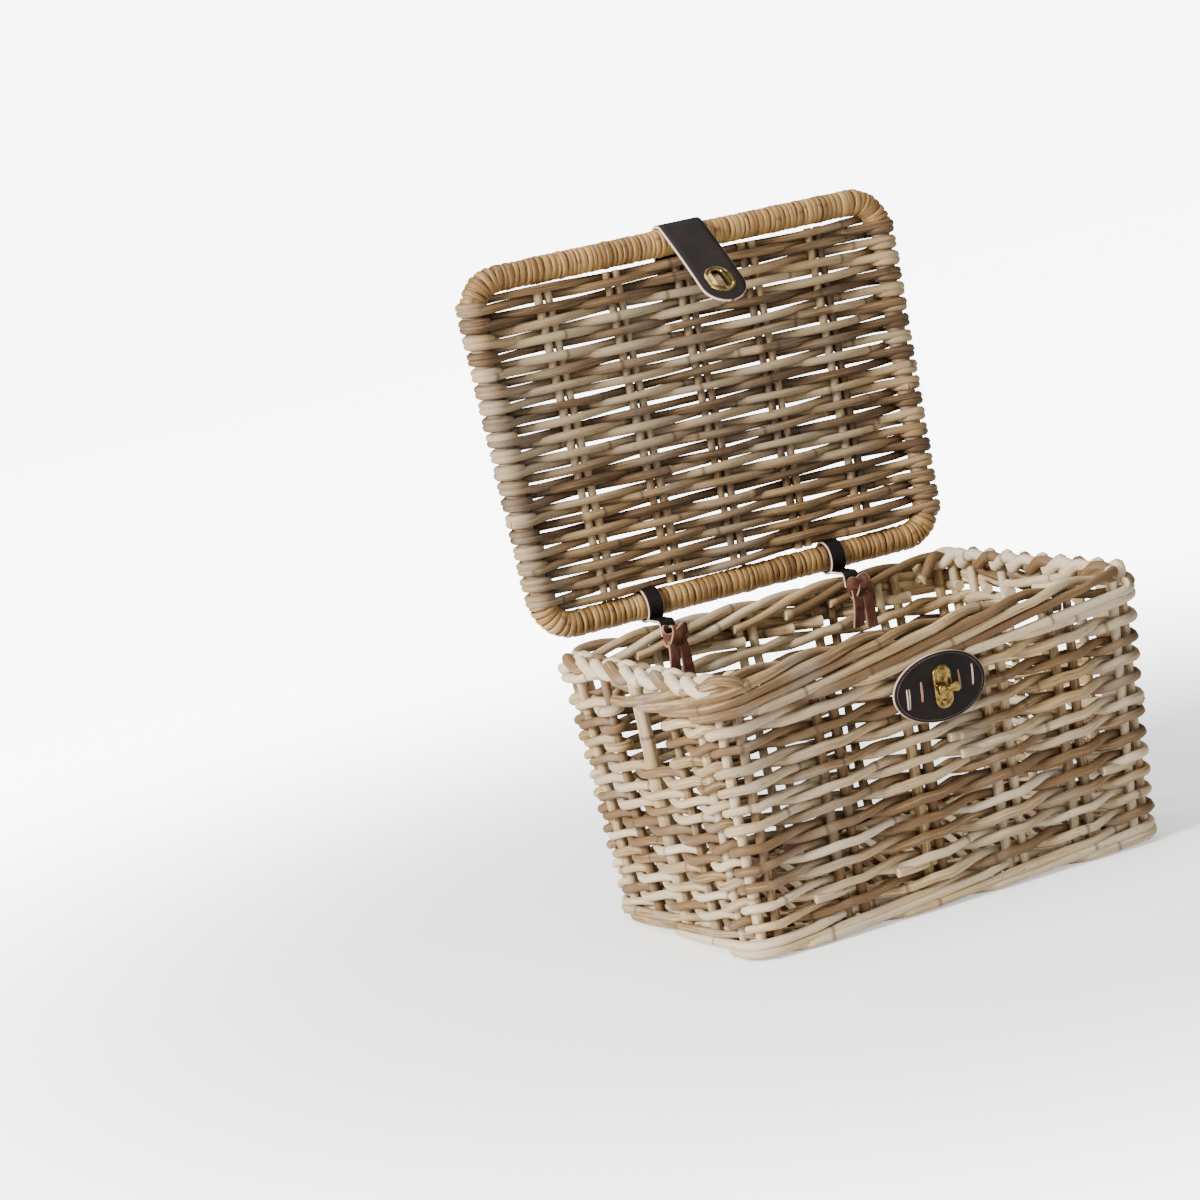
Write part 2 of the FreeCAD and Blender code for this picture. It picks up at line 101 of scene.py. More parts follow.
floor_mesh = bpy.data.meshes.new("floor")
floor_mesh.from_pydata([(-FLOOR_HALF, -FLOOR_HALF, 0.0), (FLOOR_HALF, -FLOOR_HALF, 0.0),
                        (FLOOR_HALF, FLOOR_HALF, 0.0), (-FLOOR_HALF, FLOOR_HALF, 0.0)],
                       [], [(0, 1, 2, 3)])
floor = new_object("floor", floor_mesh)
floor_paint, floor_tree, floor_shader = new_material("floor_paint")
floor_shader.inputs["Base Color"].default_value = FLOOR_COLOUR
floor_shader.inputs["Roughness"].default_value = 0.9
floor_shader.inputs["Emission Color"].default_value = WHITE
floor_place = floor_tree.nodes.new("ShaderNodeTexCoord")
floor_reach = floor_tree.nodes.new("ShaderNodeVectorMath")
floor_reach.operation = "LENGTH"
floor_fade = floor_tree.nodes.new("ShaderNodeMapRange")
floor_fade.interpolation_type = "SMOOTHSTEP"
floor_fade.inputs["From Min"].default_value = FADE_FROM
floor_fade.inputs["From Max"].default_value = FADE_TO
floor_fade.inputs["To Min"].default_value = FLOOR_GLOW
floor_fade.inputs["To Max"].default_value = BACKGROUND_WHITE
floor_seen = floor_tree.nodes.new("ShaderNodeLightPath")
floor_glow = floor_tree.nodes.new("ShaderNodeMath")
floor_glow.operation = "MULTIPLY"
link(floor_tree, floor_place.outputs["Object"], floor_reach.inputs[0])
link(floor_tree, floor_reach.outputs["Value"], floor_fade.inputs["Value"])
link(floor_tree, floor_fade.outputs["Result"], floor_glow.inputs[0])
link(floor_tree, floor_seen.outputs["Is Camera Ray"], floor_glow.inputs[1])
link(floor_tree, floor_glow.outputs[0], floor_shader.inputs["Emission Strength"])
floor_mesh.materials.append(floor_paint)

for number, (place, aim, watts, side) in enumerate(LAMPS):
    lamp = bpy.data.lights.new(f"soft_lamp_{number}", "AREA")
    lamp.energy = watts
    lamp.size = side
    holder = new_object(f"soft_lamp_{number}", lamp)
    holder.location = place
    holder.rotation_euler = (Vector(aim) - Vector(place)).to_track_quat("-Z", "Y").to_euler()

sky = bpy.data.worlds.new("pale_room")
scene.world = sky
sky.use_nodes = True
sky_tree = sky.node_tree
sky_light = sky_tree.nodes["Background"]
sky_light.inputs["Color"].default_value = WHITE
sky_seen = sky_tree.nodes.new("ShaderNodeLightPath")
sky_strength = sky_tree.nodes.new("ShaderNodeMapRange")
sky_strength.inputs["To Min"].default_value = ROOM_LIGHT
sky_strength.inputs["To Max"].default_value = BACKGROUND_WHITE
link(sky_tree, sky_seen.outputs["Is Camera Ray"], sky_strength.inputs["Value"])
link(sky_tree, sky_strength.outputs["Result"], sky_light.inputs["Strength"])

camera_data = bpy.data.cameras.new("camera")
camera_data.lens = CAMERA_LENS
camera_data.sensor_width = CAMERA_SENSOR
camera_data.clip_end = 30.0
camera = new_object("camera", camera_data)
look = Vector((math.sin(CAMERA_HEADING) * math.cos(CAMERA_DROP),
               math.cos(CAMERA_HEADING) * math.cos(CAMERA_DROP), -math.sin(CAMERA_DROP)))
level = look.cross(Vector((0, 0, 1))).normalized()
upright = level.cross(look)
across = level * math.cos(CAMERA_ROLL) - upright * math.sin(CAMERA_ROLL)
above = across.cross(look)
camera.matrix_world = Matrix((
    (across.x, above.x, -look.x, CAMERA_PLACE[0]),
    (across.y, above.y, -look.y, CAMERA_PLACE[1]),
    (across.z, above.z, -look.z, CAMERA_PLACE[2]),
    (0, 0, 0, 1)))
scene.camera = camera


# ---- base ----
# The bottom of the basket: thin canes woven across four thick sticks that run the long way.
# Peeled and weathered willow-like cane, straw coloured with grey and brown streaks.

STICK_RADIUS = 0.005
STICK_PITCH = 0.048
BASE_ROD = 0.0031
BASE_COUNT = 54
BASE_LOW, BASE_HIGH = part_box("base_weave")
BASE_REACH = 0.0140                # from the foot's outside to the ends of the base canes
BASE_SWING = 0.0055                # of a thin cane over and under the sticks
KNUCKLE_PITCH = 0.17               # along a cane, from one knuckle to the next
CANE_SIDES = 8
rng = np.random.default_rng(11)


def cane_bundle():
    """An empty collection of canes that become one piece."""
    return {"points": [], "edges": [], "thick": [], "tone": [], "along": [], "tip": []}


def add_cane(bundle, line, radius, closed=False, taper=0.0, tone=None):
    """Add one cane: line is its centre line, radius one number or one for each point."""
    line = np.asarray(line, float)
    count = len(line)
    steps = np.linalg.norm(np.diff(line, axis=0), axis=1)
    along = np.concatenate([[0.0], np.cumsum(steps)])
    tone = rng.random() if tone is None else tone
    thick = np.full(count, 1.0) * radius
    start = rng.random() * 3.0
    uneven = 0.07 * np.sin(along * 21 + start * 7) + 0.05 * np.sin(along * 67 + start * 19)
    thick = thick * (1 + uneven)
    if not closed:
        thick = thick * (1 - taper * along / max(along[-1], 1e-6))
    knuckle = np.abs(((along + start) / KNUCKLE_PITCH) % 1.0 - 0.5)
    thick = thick * (1 + 0.10 * np.clip(1 - knuckle / 0.02, 0, 1))
    first = len(bundle["points"])
    tip = np.zeros(count)
    if not closed:
        tip[[0, -1]] = 1.0
    bundle["points"].extend(line.tolist())
    bundle["edges"].extend((first + i, first + i + 1) for i in range(count - 1))
    if closed:
        bundle["edges"].append((first + count - 1, first))
    bundle["thick"].extend(thick.tolist())
    bundle["tone"].extend([tone] * count)
    bundle["along"].extend((along + start).tolist())
    bundle["tip"].extend(tip.tolist())


def socket(tree, name, way, kind):
    return tree.interface.new_socket(name=name, in_out=way, socket_type=kind)


def build_cane_tree():
    """Sweeps a round section along every line, and keeps where each point is on its cane."""
    tree = bpy.data.node_groups.new("sweep_canes", "GeometryNodeTree")
    socket(tree, "Geometry", "INPUT", "NodeSocketGeometry")
    sides = socket(tree, "Sides", "INPUT", "NodeSocketInt")
    sides.default_value = CANE_SIDES
    socket(tree, "Finish", "INPUT", "NodeSocketMaterial")
    socket(tree, "Geometry", "OUTPUT", "NodeSocketGeometry")
    nodes = tree.nodes
    entry = nodes.new("NodeGroupInput")
    leave = nodes.new("NodeGroupOutput")
    to_curve = nodes.new("GeometryNodeMeshToCurve")
    thick = nodes.new("GeometryNodeInputNamedAttribute")
    thick.data_type = "FLOAT"
    thick.inputs["Name"].default_value = "thick"
    set_radius = nodes.new("GeometryNodeSetCurveRadius")
    section = nodes.new("GeometryNodeCurvePrimitiveCircle")
    section.inputs["Radius"].default_value = 1.0
    where = nodes.new("GeometryNodeInputPosition")
    keep_ring = nodes.new("GeometryNodeStoreNamedAttribute")
    keep_ring.data_type = "FLOAT_VECTOR"
    keep_ring.domain = "POINT"
    keep_ring.inputs["Name"].default_value = "ring"
    sweep = nodes.new("GeometryNodeCurveToMesh")
    sweep.inputs["Fill Caps"].default_value = True
    smooth = nodes.new("GeometryNodeSetShadeSmooth")
    real = nodes.new("GeometryNodeRealizeInstances")
    paint = nodes.new("GeometryNodeSetMaterial")
    link(tree, entry.outputs["Geometry"], to_curve.inputs["Mesh"])
    link(tree, to_curve.outputs["Curve"], set_radius.inputs["Curve"])
    link(tree, thick.outputs["Attribute"], set_radius.inputs["Radius"])
    link(tree, entry.outputs["Sides"], section.inputs["Resolution"])
    link(tree, section.outputs["Curve"], keep_ring.inputs["Geometry"])
    link(tree, where.outputs["Position"], keep_ring.inputs["Value"])
    link(tree, set_radius.outputs["Curve"], sweep.inputs["Curve"])
    link(tree, keep_ring.outputs["Geometry"], sweep.inputs["Profile Curve"])
    link(tree, thick.outputs["Attribute"], sweep.inputs["Scale"])
    link(tree, sweep.outputs["Mesh"], smooth.inputs[0])
    link(tree, smooth.outputs[0], real.inputs["Geometry"])
    link(tree, real.outputs["Geometry"], paint.inputs["Geometry"])
    link(tree, entry.outputs["Finish"], paint.inputs["Material"])
    link(tree, paint.outputs["Geometry"], leave.inputs["Geometry"])
    return tree


cane_tree = build_cane_tree()
CRISP = math.radians(50)           # a sharper turn than this is a cut edge


def set_input(modifier, name, value):
    for item in modifier.node_group.interface.items_tree:
        if item.item_type == "SOCKET" and item.in_out == "INPUT" and item.name == name:
            modifier[item.identifier] = value


def bake_modifiers(piece, material):
    """Replace a piece's mesh by the result of its modifiers."""
    bpy.context.view_layer.update()
    graph = bpy.context.evaluated_depsgraph_get()
    mesh = bpy.data.meshes.new_from_object(piece.evaluated_get(graph))
    piece.modifiers.clear()
    piece.data = mesh
    mesh.materials.clear()
    mesh.materials.append(material)
    return piece


def cane_piece(name, bundle, material, sides=CANE_SIDES):
    """Sweep a bundle of canes into one smooth piece with crisp cut ends."""
    mesh = bpy.data.meshes.new(name)
    mesh.from_pydata(bundle["points"], bundle["edges"], [])
    for key in ("thick", "tone", "along", "tip"):
        layer = mesh.attributes.new(key, "FLOAT", "POINT")
        layer.data.foreach_set("value", np.array(bundle[key], np.float32))
    piece = new_object(name, mesh)
    modifier = piece.modifiers.new("canes", "NODES")
    modifier.node_group = cane_tree
    set_input(modifier, "Sides", sides)
    set_input(modifier, "Finish", material)
    bake_modifiers(piece, material)
    piece.data.set_sharp_from_angle(angle=CRISP)
    return piece


def attribute_node(tree, name):
    node = tree.nodes.new("ShaderNodeAttribute")
    node.attribute_type = "GEOMETRY"
    node.attribute_name = name
    return node


def math_node(tree, kind, first, second=None, third=None, clamp=False):
    node = tree.nodes.new("ShaderNodeMath")
    node.operation = kind
    node.use_clamp = clamp
    for slot_number, value in enumerate((first, second, third)):
        if value is None:
            continue
        if isinstance(value, (int, float)):
            node.inputs[slot_number].default_value = value
        else:
            link(tree, value, node.inputs[slot_number])
    return node.outputs[0]


def bump_node(tree, shader, height, strength, distance):
    """Let a height stand out of the surface."""
    bump = tree.nodes.new("ShaderNodeBump")
    bump.inputs["Strength"].default_value = strength
    bump.inputs["Distance"].default_value = distance
    link(tree, height, bump.inputs["Height"])
    link(tree, bump.outputs["Normal"], shader.inputs["Normal"])


def mix_colours(tree, share, first, second):
    node = tree.nodes.new("ShaderNodeMix")
    node.data_type = "RGBA"
    for name, value in (("Factor", share), ("A", first), ("B", second)):
        found = [s for s in node.inputs if s.name == name and s.enabled]
        target = found[0] if name == "Factor" else found[-1]
        if isinstance(value, tuple):
            target.default_value = value
        else:
            link(tree, value, target)
    return [s for s in node.outputs if s.name == "Result" and s.enabled][0]


def noise_node(tree, vector, scale, detail, roughness):
    node = tree.nodes.new("ShaderNodeTexNoise")
    node.inputs["Scale"].default_value = scale
    node.inputs["Detail"].default_value = detail
    node.inputs["Roughness"].default_value = roughness
    link(tree, vector, node.inputs["Vector"])
    return node.outputs["Fac"]


def step_node(tree, value, low, high):
    """0 below low, 1 above high."""
    node = tree.nodes.new("ShaderNodeMapRange")
    node.inputs["From Min"].default_value = low
    node.inputs["From Max"].default_value = high
    link(tree, value, node.inputs["Value"])
    return node.outputs["Result"]


def build_cane_marks():
    """What every cane shows: streaks along it, dark flecks, knuckles, dust and a fine bump."""
    group = bpy.data.node_groups.new("cane_marks", "ShaderNodeTree")
    for name, kind in (("Ring", "NodeSocketVector"), ("Along", "NodeSocketFloat"),
                       ("Tone", "NodeSocketFloat"), ("Place", "NodeSocketVector")):
        socket(group, name, "INPUT", kind)
    for name in ("Streak", "Fleck", "Knuckle", "Weather", "Height"):
        socket(group, name, "OUTPUT", "NodeSocketFloat")
    entry = group.nodes.new("NodeGroupInput")
    leave = group.nodes.new("NodeGroupOutput")
    split = group.nodes.new("ShaderNodeSeparateXYZ")
    link(group, entry.outputs["Ring"], split.inputs[0])
    shift = math_node(group, "MULTIPLY", entry.outputs["Tone"], 37.0)
    around = group.nodes.new("ShaderNodeCombineXYZ")
    link(group, math_node(group, "ADD", split.outputs[0], shift), around.inputs[0])
    link(group, split.outputs[1], around.inputs[1])
    link(group, math_node(group, "MULTIPLY", entry.outputs["Along"], 9.0), around.inputs[2])
    streak = noise_node(group, around.outputs[0], 2.6, 5.0, 0.62)
    fine = group.nodes.new("ShaderNodeCombineXYZ")
    link(group, math_node(group, "ADD", split.outputs[0], shift), fine.inputs[0])
    link(group, split.outputs[1], fine.inputs[1])
    link(group, math_node(group, "MULTIPLY", entry.outputs["Along"], 60.0), fine.inputs[2])
    grain = noise_node(group, fine.outputs[0], 5.5, 4.0, 0.7)
    flecks = noise_node(group, fine.outputs[0], 3.4, 3.0, 0.65)
    weather = noise_node(group, entry.outputs["Place"], 11.0, 3.0, 0.6)
    turns = math_node(group, "FRACT", math_node(group, "DIVIDE", entry.outputs["Along"], KNUCKLE_PITCH))
    knuckle = math_node(group, "ABSOLUTE", math_node(group, "SUBTRACT", turns, 0.5))
    knuckle = math_node(group, "SUBTRACT", 1.0, math_node(group, "DIVIDE", knuckle, 0.016), clamp=True)
    link(group, streak, leave.inputs["Streak"])
    link(group, step_node(group, flecks, 0.625, 0.69), leave.inputs["Fleck"])
    link(group, knuckle, leave.inputs["Knuckle"])
    link(group, weather, leave.inputs["Weather"])
    height = math_node(group, "MULTIPLY_ADD", grain, 0.5, math_node(group, "MULTIPLY", streak, 0.6))
    link(group, height, leave.inputs["Height"])
    return group


cane_marks = build_cane_marks()


def cane_material(name, dark, middle, pale, grey, fleck, weathered, roughness, coat=0.0):
    """Cane finish: each cane takes its own shade between dark and pale."""
    material, tree, shader = new_material(name)
    marks = tree.nodes.new("ShaderNodeGroup")
    marks.node_tree = cane_marks
    tone = attribute_node(tree, "tone").outputs["Fac"]
    place = tree.nodes.new("ShaderNodeTexCoord").outputs["Object"]
    link(tree, attribute_node(tree, "ring").outputs["Vector"], marks.inputs["Ring"])
    link(tree, attribute_node(tree, "along").outputs["Fac"], marks.inputs["Along"])
    link(tree, tone, marks.inputs["Tone"])
    link(tree, place, marks.inputs["Place"])
    mixed = math_node(tree, "MULTIPLY_ADD", tone, 0.62, -0.31)
    mixed = math_node(tree, "ADD", mixed, marks.outputs["Streak"])
    ramp = tree.nodes.new("ShaderNodeValToRGB")
    ramp.color_ramp.elements[0].position = 0.28
    ramp.color_ramp.elements[0].color = dark
    ramp.color_ramp.elements[1].position = 0.78
    ramp.color_ramp.elements[1].color = pale
    between = ramp.color_ramp.elements.new(0.50)
    between.color = middle
    link(tree, mixed, ramp.inputs["Fac"])
    weather = math_node(tree, "MULTIPLY_ADD", tone, 0.35, -0.17)
    weather = math_node(tree, "ADD", weather, marks.outputs["Weather"])
    weather = math_node(tree, "MULTIPLY", step_node(tree, weather, 0.42, 0.72), weathered)
    colour = mix_colours(tree, weather, ramp.outputs["Color"], grey)
    colour = mix_colours(tree, math_node(tree, "MULTIPLY", marks.outputs["Fleck"], 0.75), colour, fleck)
    colour = mix_colours(tree, math_node(tree, "MULTIPLY", marks.outputs["Knuckle"], 0.72), colour, fleck)
    ends = math_node(tree, "MULTIPLY", attribute_node(tree, "tip").outputs["Fac"], 0.8)
    colour = mix_colours(tree, ends, colour, pale)
    link(tree, colour, shader.inputs["Base Color"])
    rough = math_node(tree, "MULTIPLY_ADD", marks.outputs["Streak"], 0.25, roughness - 0.12)
    link(tree, rough, shader.inputs["Roughness"])
    shader.inputs["Specular IOR Level"].default_value = 0.35
    if coat:
        shader.inputs["Coat Weight"].default_value = coat
        shader.inputs["Coat Roughness"].default_value = 0.28
    bump_node(tree, shader, marks.outputs["Height"], 0.45, 0.0006)
    return material


body_cane = cane_material(
    "body_cane", dark=(0.130, 0.072, 0.028, 1), middle=(0.350, 0.230, 0.101, 1),
    pale=(0.590, 0.440, 0.245, 1), grey=(0.430, 0.385, 0.310, 1), fleck=(0.050, 0.028, 0.014, 1),
    weathered=0.50, roughness=0.66)

base_middle = (BASE_LOW.z + BASE_HIGH.z) / 2
sticks = cane_bundle()
base_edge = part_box("foot_border")[0] + Vector((BASE_REACH, BASE_REACH, 0))
stick_ys = [(index - 1.5) * STICK_PITCH for index in range(4)]
for y in stick_ys:
    xs = np.linspace(base_edge.x, -base_edge.x, 60)
    add_cane(sticks, [(x, y, base_middle) for x in xs], STICK_RADIUS * 0.97)
base_sticks = cane_piece("base_sticks_cane", sticks, body_cane)
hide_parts("base_sticks")
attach(base_sticks, "basket")

base_rods = cane_bundle()
base_xs = np.linspace(base_edge.x + BASE_ROD, -base_edge.x - BASE_ROD, BASE_COUNT)
base_ys = np.linspace(base_edge.y, -base_edge.y, 44)
for number, x in enumerate(base_xs):
    way = 1 if number % 2 else -1
    phase = (base_ys - stick_ys[0]) / STICK_PITCH * math.pi
    lift = way * np.cos(phase) * BASE_SWING
    wander = 0.0005 * np.sin(base_ys * 30 + number * 1.7)
    line = np.stack([np.full_like(base_ys, x) + wander, base_ys, base_middle + lift], axis=1)
    add_cane(base_rods, line, BASE_ROD)
base_weave = cane_piece("base_woven_canes", base_rods, body_cane, sides=6)
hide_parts("base_weave")
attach(base_weave, "basket")


# ---- standing canes ----
# Canes that stand in the wall: pairs in the long sides, single ones in the ends, two at each
# corner, and a thicker post through each handle hole. The walls lean out towards the rim.

FOOT_HALF_THICKNESS = 0.012
BORDER_HALF_THICKNESS = 0.011
BEND = 0.018                       # of the wall's middle, at a corner
PAIR_GAP = 0.015
FRONT_PAIRS = (-0.52, -0.11, 0.285, 0.635)      # shares of the half length
END_STAKES = (-0.104, -0.056, 0.0, 0.056, 0.104)
STAKE_RADIUS = 0.0041
POST_RADIUS = 0.006
PAIR_FLAT, CORNER_FLAT, SINGLE_FLAT = 0.0085, 0.008, 0.0015    # half of where a weaver lies flat
foot_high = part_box("foot_border")[1]
rim_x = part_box("right_border")[1].x - BORDER_HALF_THICKNESS
rim_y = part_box("rear_border")[1].y - BORDER_HALF_THICKNESS
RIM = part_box("front_border")[1].z
BORDER_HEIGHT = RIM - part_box("front_border")[0].z


def half_x(z):
    """From the middle of the basket to the middle of an end wall."""
    low = foot_high.x - FOOT_HALF_THICKNESS
    return low + (rim_x - low) * (z - foot_high.z) / (RIM - foot_high.z)


def half_y(z):
    """From the middle of the basket to the middle of a long wall."""
    low = foot_high.y - FOOT_HALF_THICKNESS
    return low + (rim_y - low) * (z - foot_high.z) / (RIM - foot_high.z)


def wall_lengths(z):
    """Along the wall's middle: a long side, an end, one bend, and once round."""
    front = 2 * (half_x(z) - BEND)
    side = 2 * (half_y(z) - BEND)
    bend = math.pi / 2 * BEND
    return front, side, bend, 2 * (front + side) + 4 * bend


def wall_point(s, z, depth, rise=0.0):
    """Points of the wall: s runs round it from the front left corner, depth is outwards."""
    s, depth, rise = np.broadcast_arrays(np.asarray(s, float), depth, rise)
    front, side, bend, whole = wall_lengths(z)
    s = np.mod(s, whole)
    runs = (front, bend, side, bend, front, bend, side, bend)
    starts = np.concatenate([[0.0], np.cumsum(runs)])
    run = np.clip(np.searchsorted(starts, s, side="right") - 1, 0, 7)
    t = s - starts[run]
    cx, cy = half_x(z) - BEND, half_y(z) - BEND
    corners = np.array([(-cx, -cy), (cx, -cy), (cx, -cy), (cx, cy),
                        (cx, cy), (-cx, cy), (-cx, cy), (-cx, -cy)])
    headings = np.radians(np.array([-90, -90, 0, 0, 90, 90, 180, 180]))
    is_bend = run % 2 == 1
    angle = headings[run] + np.where(is_bend, t / BEND, 0.0)
    nx, ny = np.cos(angle), np.sin(angle)
    out = BEND + depth + rise * (rim_y - foot_high.y + FOOT_HALF_THICKNESS) / (RIM - foot_high.z)
    forward = np.where(is_bend, 0.0, t)
    x = corners[run, 0] + nx * out - ny * forward
    y = corners[run, 1] + ny * out + nx * forward
    return np.stack([x, y, z + rise], axis=1)


def stake_groups(z):
    """Where the groups of stakes stand round the wall, and half the width of each."""
    front, side, bend, whole = wall_lengths(z)
    a, b = half_x(z), half_y(z)
    ends = [y * b / half_y(RIM / 2) for y in END_STAKES]
    near, far = BEND * math.radians(22.5), BEND * math.radians(67.5)
    centres = [share * a + front / 2 for share in FRONT_PAIRS] + [front + near]
    centres += [front + bend + y + side / 2 for y in ends] + [front + bend + side + far]
    rear = front + 2 * bend + side
    centres += [rear + front / 2 - share * a for share in FRONT_PAIRS[::-1]] + [rear + front + near]
    left = rear + front + bend
    centres += [left + side / 2 - y for y in ends[::-1]] + [left + side + far]
    flats = [PAIR_FLAT] * 4 + [CORNER_FLAT] + [SINGLE_FLAT] * 5 + [CORNER_FLAT]
    return np.array(centres), np.array(flats * 2), whole


STAKE_LOW, STAKE_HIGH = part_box("front_stakes")
stakes = cane_bundle()
stand_z = np.linspace(STAKE_LOW.z, STAKE_HIGH.z, 30)


def stand(bundle, x_at, y_at, radius):
    """Add a standing cane; x_at and y_at give its place for a height."""
    add_cane(bundle, [(x_at(z), y_at(z), z) for z in stand_z], radius)


for share in FRONT_PAIRS:
    for sign in (-1, 1):
        for offset in (-PAIR_GAP / 2, PAIR_GAP / 2):
            wobble = rng.normal(0, 0.0012)
            stand(stakes, lambda z: share * half_x(z) + offset + wobble * math.sin(z * 21),
                  lambda z: sign * half_y(z), STAKE_RADIUS)
for sign in (-1, 1):
    for y in END_STAKES:
        if y:
            stand(stakes, lambda z: sign * half_x(z), lambda z: y * half_y(z) / half_y(RIM / 2), STAKE_RADIUS)
    for sign_y in (-1, 1):
        for turn in (0.0, math.radians(45)):
            stand(stakes, lambda z: sign * (half_x(z) - BEND * (1 - math.sin(turn))),
                  lambda z: sign_y * (half_y(z) - BEND * (1 - math.cos(turn))), STAKE_RADIUS)
stakes_piece = cane_piece("standing_canes", stakes, body_cane)
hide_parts("front_stakes", "rear_stakes", "left_stakes", "right_stakes", "corner_posts")
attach(stakes_piece, "basket")

posts = cane_bundle()
for sign in (-1, 1):
    stand(posts, lambda z: sign * half_x(z), lambda z: 0.0, POST_RADIUS * 0.97)
posts_piece = cane_piece("handle_hole_posts", posts, body_cane, sides=12)
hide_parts("left_handle_post", "right_handle_post")
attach(posts_piece, "basket")


# ---- woven walls ----
# Pairing: two canes go round together, one outside a stake and one inside, and change over
# before the next stake. Beside the handle holes they turn back round the nearest stake.

ROW_PITCH = 0.0156
ROW_COUNT = 11
WEAVER = 0.0039
WALL_DEPTH = 0.0067
SPREAD = 0.0038                    # of the two canes, half way between stakes
LAP = 0.0006                       # the outer cane lies this much lower, on a stake
WANDER = 0.0007                    # up and down, of a cane in its row
HOLE_FIRST_ROW = 8
LEFT_HOLE, RIGHT_HOLE = (17, 19), (6, 8)         # the stake groups each side of a handle hole
weavers = cane_bundle()


def crossing(s, centres, flats, whole):
    """Counts stake groups along s: whole numbers on a group, in between while crossing over."""
    centres = np.concatenate([centres - whole, centres, centres + whole])
    flats = np.concatenate([flats] * 3)
    groups = len(flats) // 3
    index = np.clip(np.searchsorted(centres, s) - 1, 0, len(centres) - 2)
    low = centres[index] + flats[index]
    high = centres[index + 1] - flats[index + 1]
    share = np.clip((s - low) / np.maximum(high - low, 1e-5), 0, 1)
    return index - groups + share


def pair_line(s, offset, wander, centres, flats, whole):
    """One cane of a pair; offset is 0 or 1, the two canes of the pair."""
    count = crossing(s, centres, flats, whole) + offset
    swing = np.cos(math.pi * count)
    even = np.where(np.floor(count) % 2 == 0, 1.0, -1.0)
    straight = even * (1 - 2 * np.mod(count, 1.0))
    slope = np.mod(count + 0.5, 2.0)
    slope = np.where(slope < 1, 2 * slope - 1, 3 - 2 * slope)
    depth = WALL_DEPTH * (0.45 * swing + 0.55 * straight)
    rise = -LAP * swing + SPREAD * (0.5 * np.sin(math.pi * count) + 0.5 * slope)
    size, first, second = wander
    rise = rise + size * np.sin(s * 9 + first) + size * 0.7 * np.sin(s * 23 + second)
    depth = depth + size * 0.6 * np.sin(s * 17 + second * 2)
    return depth, rise


def turn_back(depth, rise_from, rise_to, s_end, way, z):
    """The loop round the last stake, from one cane of the pair to the other."""
    angle = np.linspace(0, math.pi, 9)[1:-1]
    s = s_end + way * np.abs(depth) * np.sin(angle)
    share = (1 - np.cos(angle)) / 2
    return wall_point(s, z, depth * np.cos(angle), rise_from + (rise_to - rise_from) * share)


for row in range(ROW_COUNT):
    z = foot_high.z + ROW_PITCH * (row + 0.5) + rng.normal(0, 0.0003)
    centres, flats, whole = stake_groups(z)
    shade = rng.random(2)
    size = WEAVER * rng.uniform(0.90, 1.08, 2)
    waves = [(WANDER, *rng.uniform(0, 6.28, 2)) for cane in range(2)]
    if row < HOLE_FIRST_ROW:
        s = np.linspace(0, whole, 300, endpoint=False)
        for cane in range(2):
            depth, rise = pair_line(s, cane, waves[cane], centres, flats, whole)
            add_cane(weavers, wall_point(s, z, depth, rise), size[cane], closed=True, tone=shade[cane])
        continue
    for first, last in ((LEFT_HOLE[1], RIGHT_HOLE[0]), (RIGHT_HOLE[1], LEFT_HOLE[0])):
        start = centres[first] - (whole if first > last else 0.0)
        end = centres[last]
        s = np.linspace(start, end, 150)
        pair = [pair_line(s, cane, waves[cane], centres, flats, whole) for cane in range(2)]
        (out_depth, out_rise), (back_depth, back_rise) = pair
        out_line = wall_point(s, z, out_depth, out_rise)
        back_line = wall_point(s, z, back_depth, back_rise)[::-1]
        far_turn = turn_back(out_depth[-1], out_rise[-1], back_rise[-1], end, 1, z)
        near_turn = turn_back(back_depth[0], back_rise[0], out_rise[0], start, -1, z)
        loop = np.concatenate([out_line, far_turn, back_line, near_turn])
        add_cane(weavers, loop, size[0], closed=True, tone=shade[0])

CUT_TIPS = 14                      # ends of spliced canes, where they don't fall beside a handle hole
for number in range(CUT_TIPS):
    row = rng.integers(0, ROW_COUNT)
    z = foot_high.z + ROW_PITCH * (row + 0.5)
    centres, flats, whole = stake_groups(z)
    group = rng.integers(0, len(centres))
    beside_hole = any(low <= group <= high for low, high in (LEFT_HOLE, RIGHT_HOLE))
    if row >= HOLE_FIRST_ROW and beside_hole:
        continue
    reach = rng.uniform(0.040, 0.060)
    share = np.linspace(0, 1, 13)
    s = centres[group] - flats[group] + 0.016 - share * reach
    level_shift = rng.choice((-1, 1)) * ROW_PITCH * 0.47
    depth = WALL_DEPTH * (-0.9 + 1.9 * np.sin(share * math.pi / 2))
    add_cane(weavers, wall_point(s, z, depth, level_shift + share * 0.002), WEAVER * 0.92)
wall_piece = cane_piece("woven_walls", weavers, body_cane)
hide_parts("front_weave", "rear_weave", "left_weave", "right_weave")
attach(wall_piece, "basket")


# ---- foot ----
# Thick canes rolled round the bottom edge, each sloping gently up past the next ones and ending
# cut off inside. The basket stands on them.

FOOT_ROD = 0.0041
OVERLAP = 0.0035                   # a cane sinks this much behind the next ones as it climbs
foot = cane_bundle()


def smooth_share(value):
    value = np.clip(value, 0, 1)
    return value * value * (3 - 2 * value)


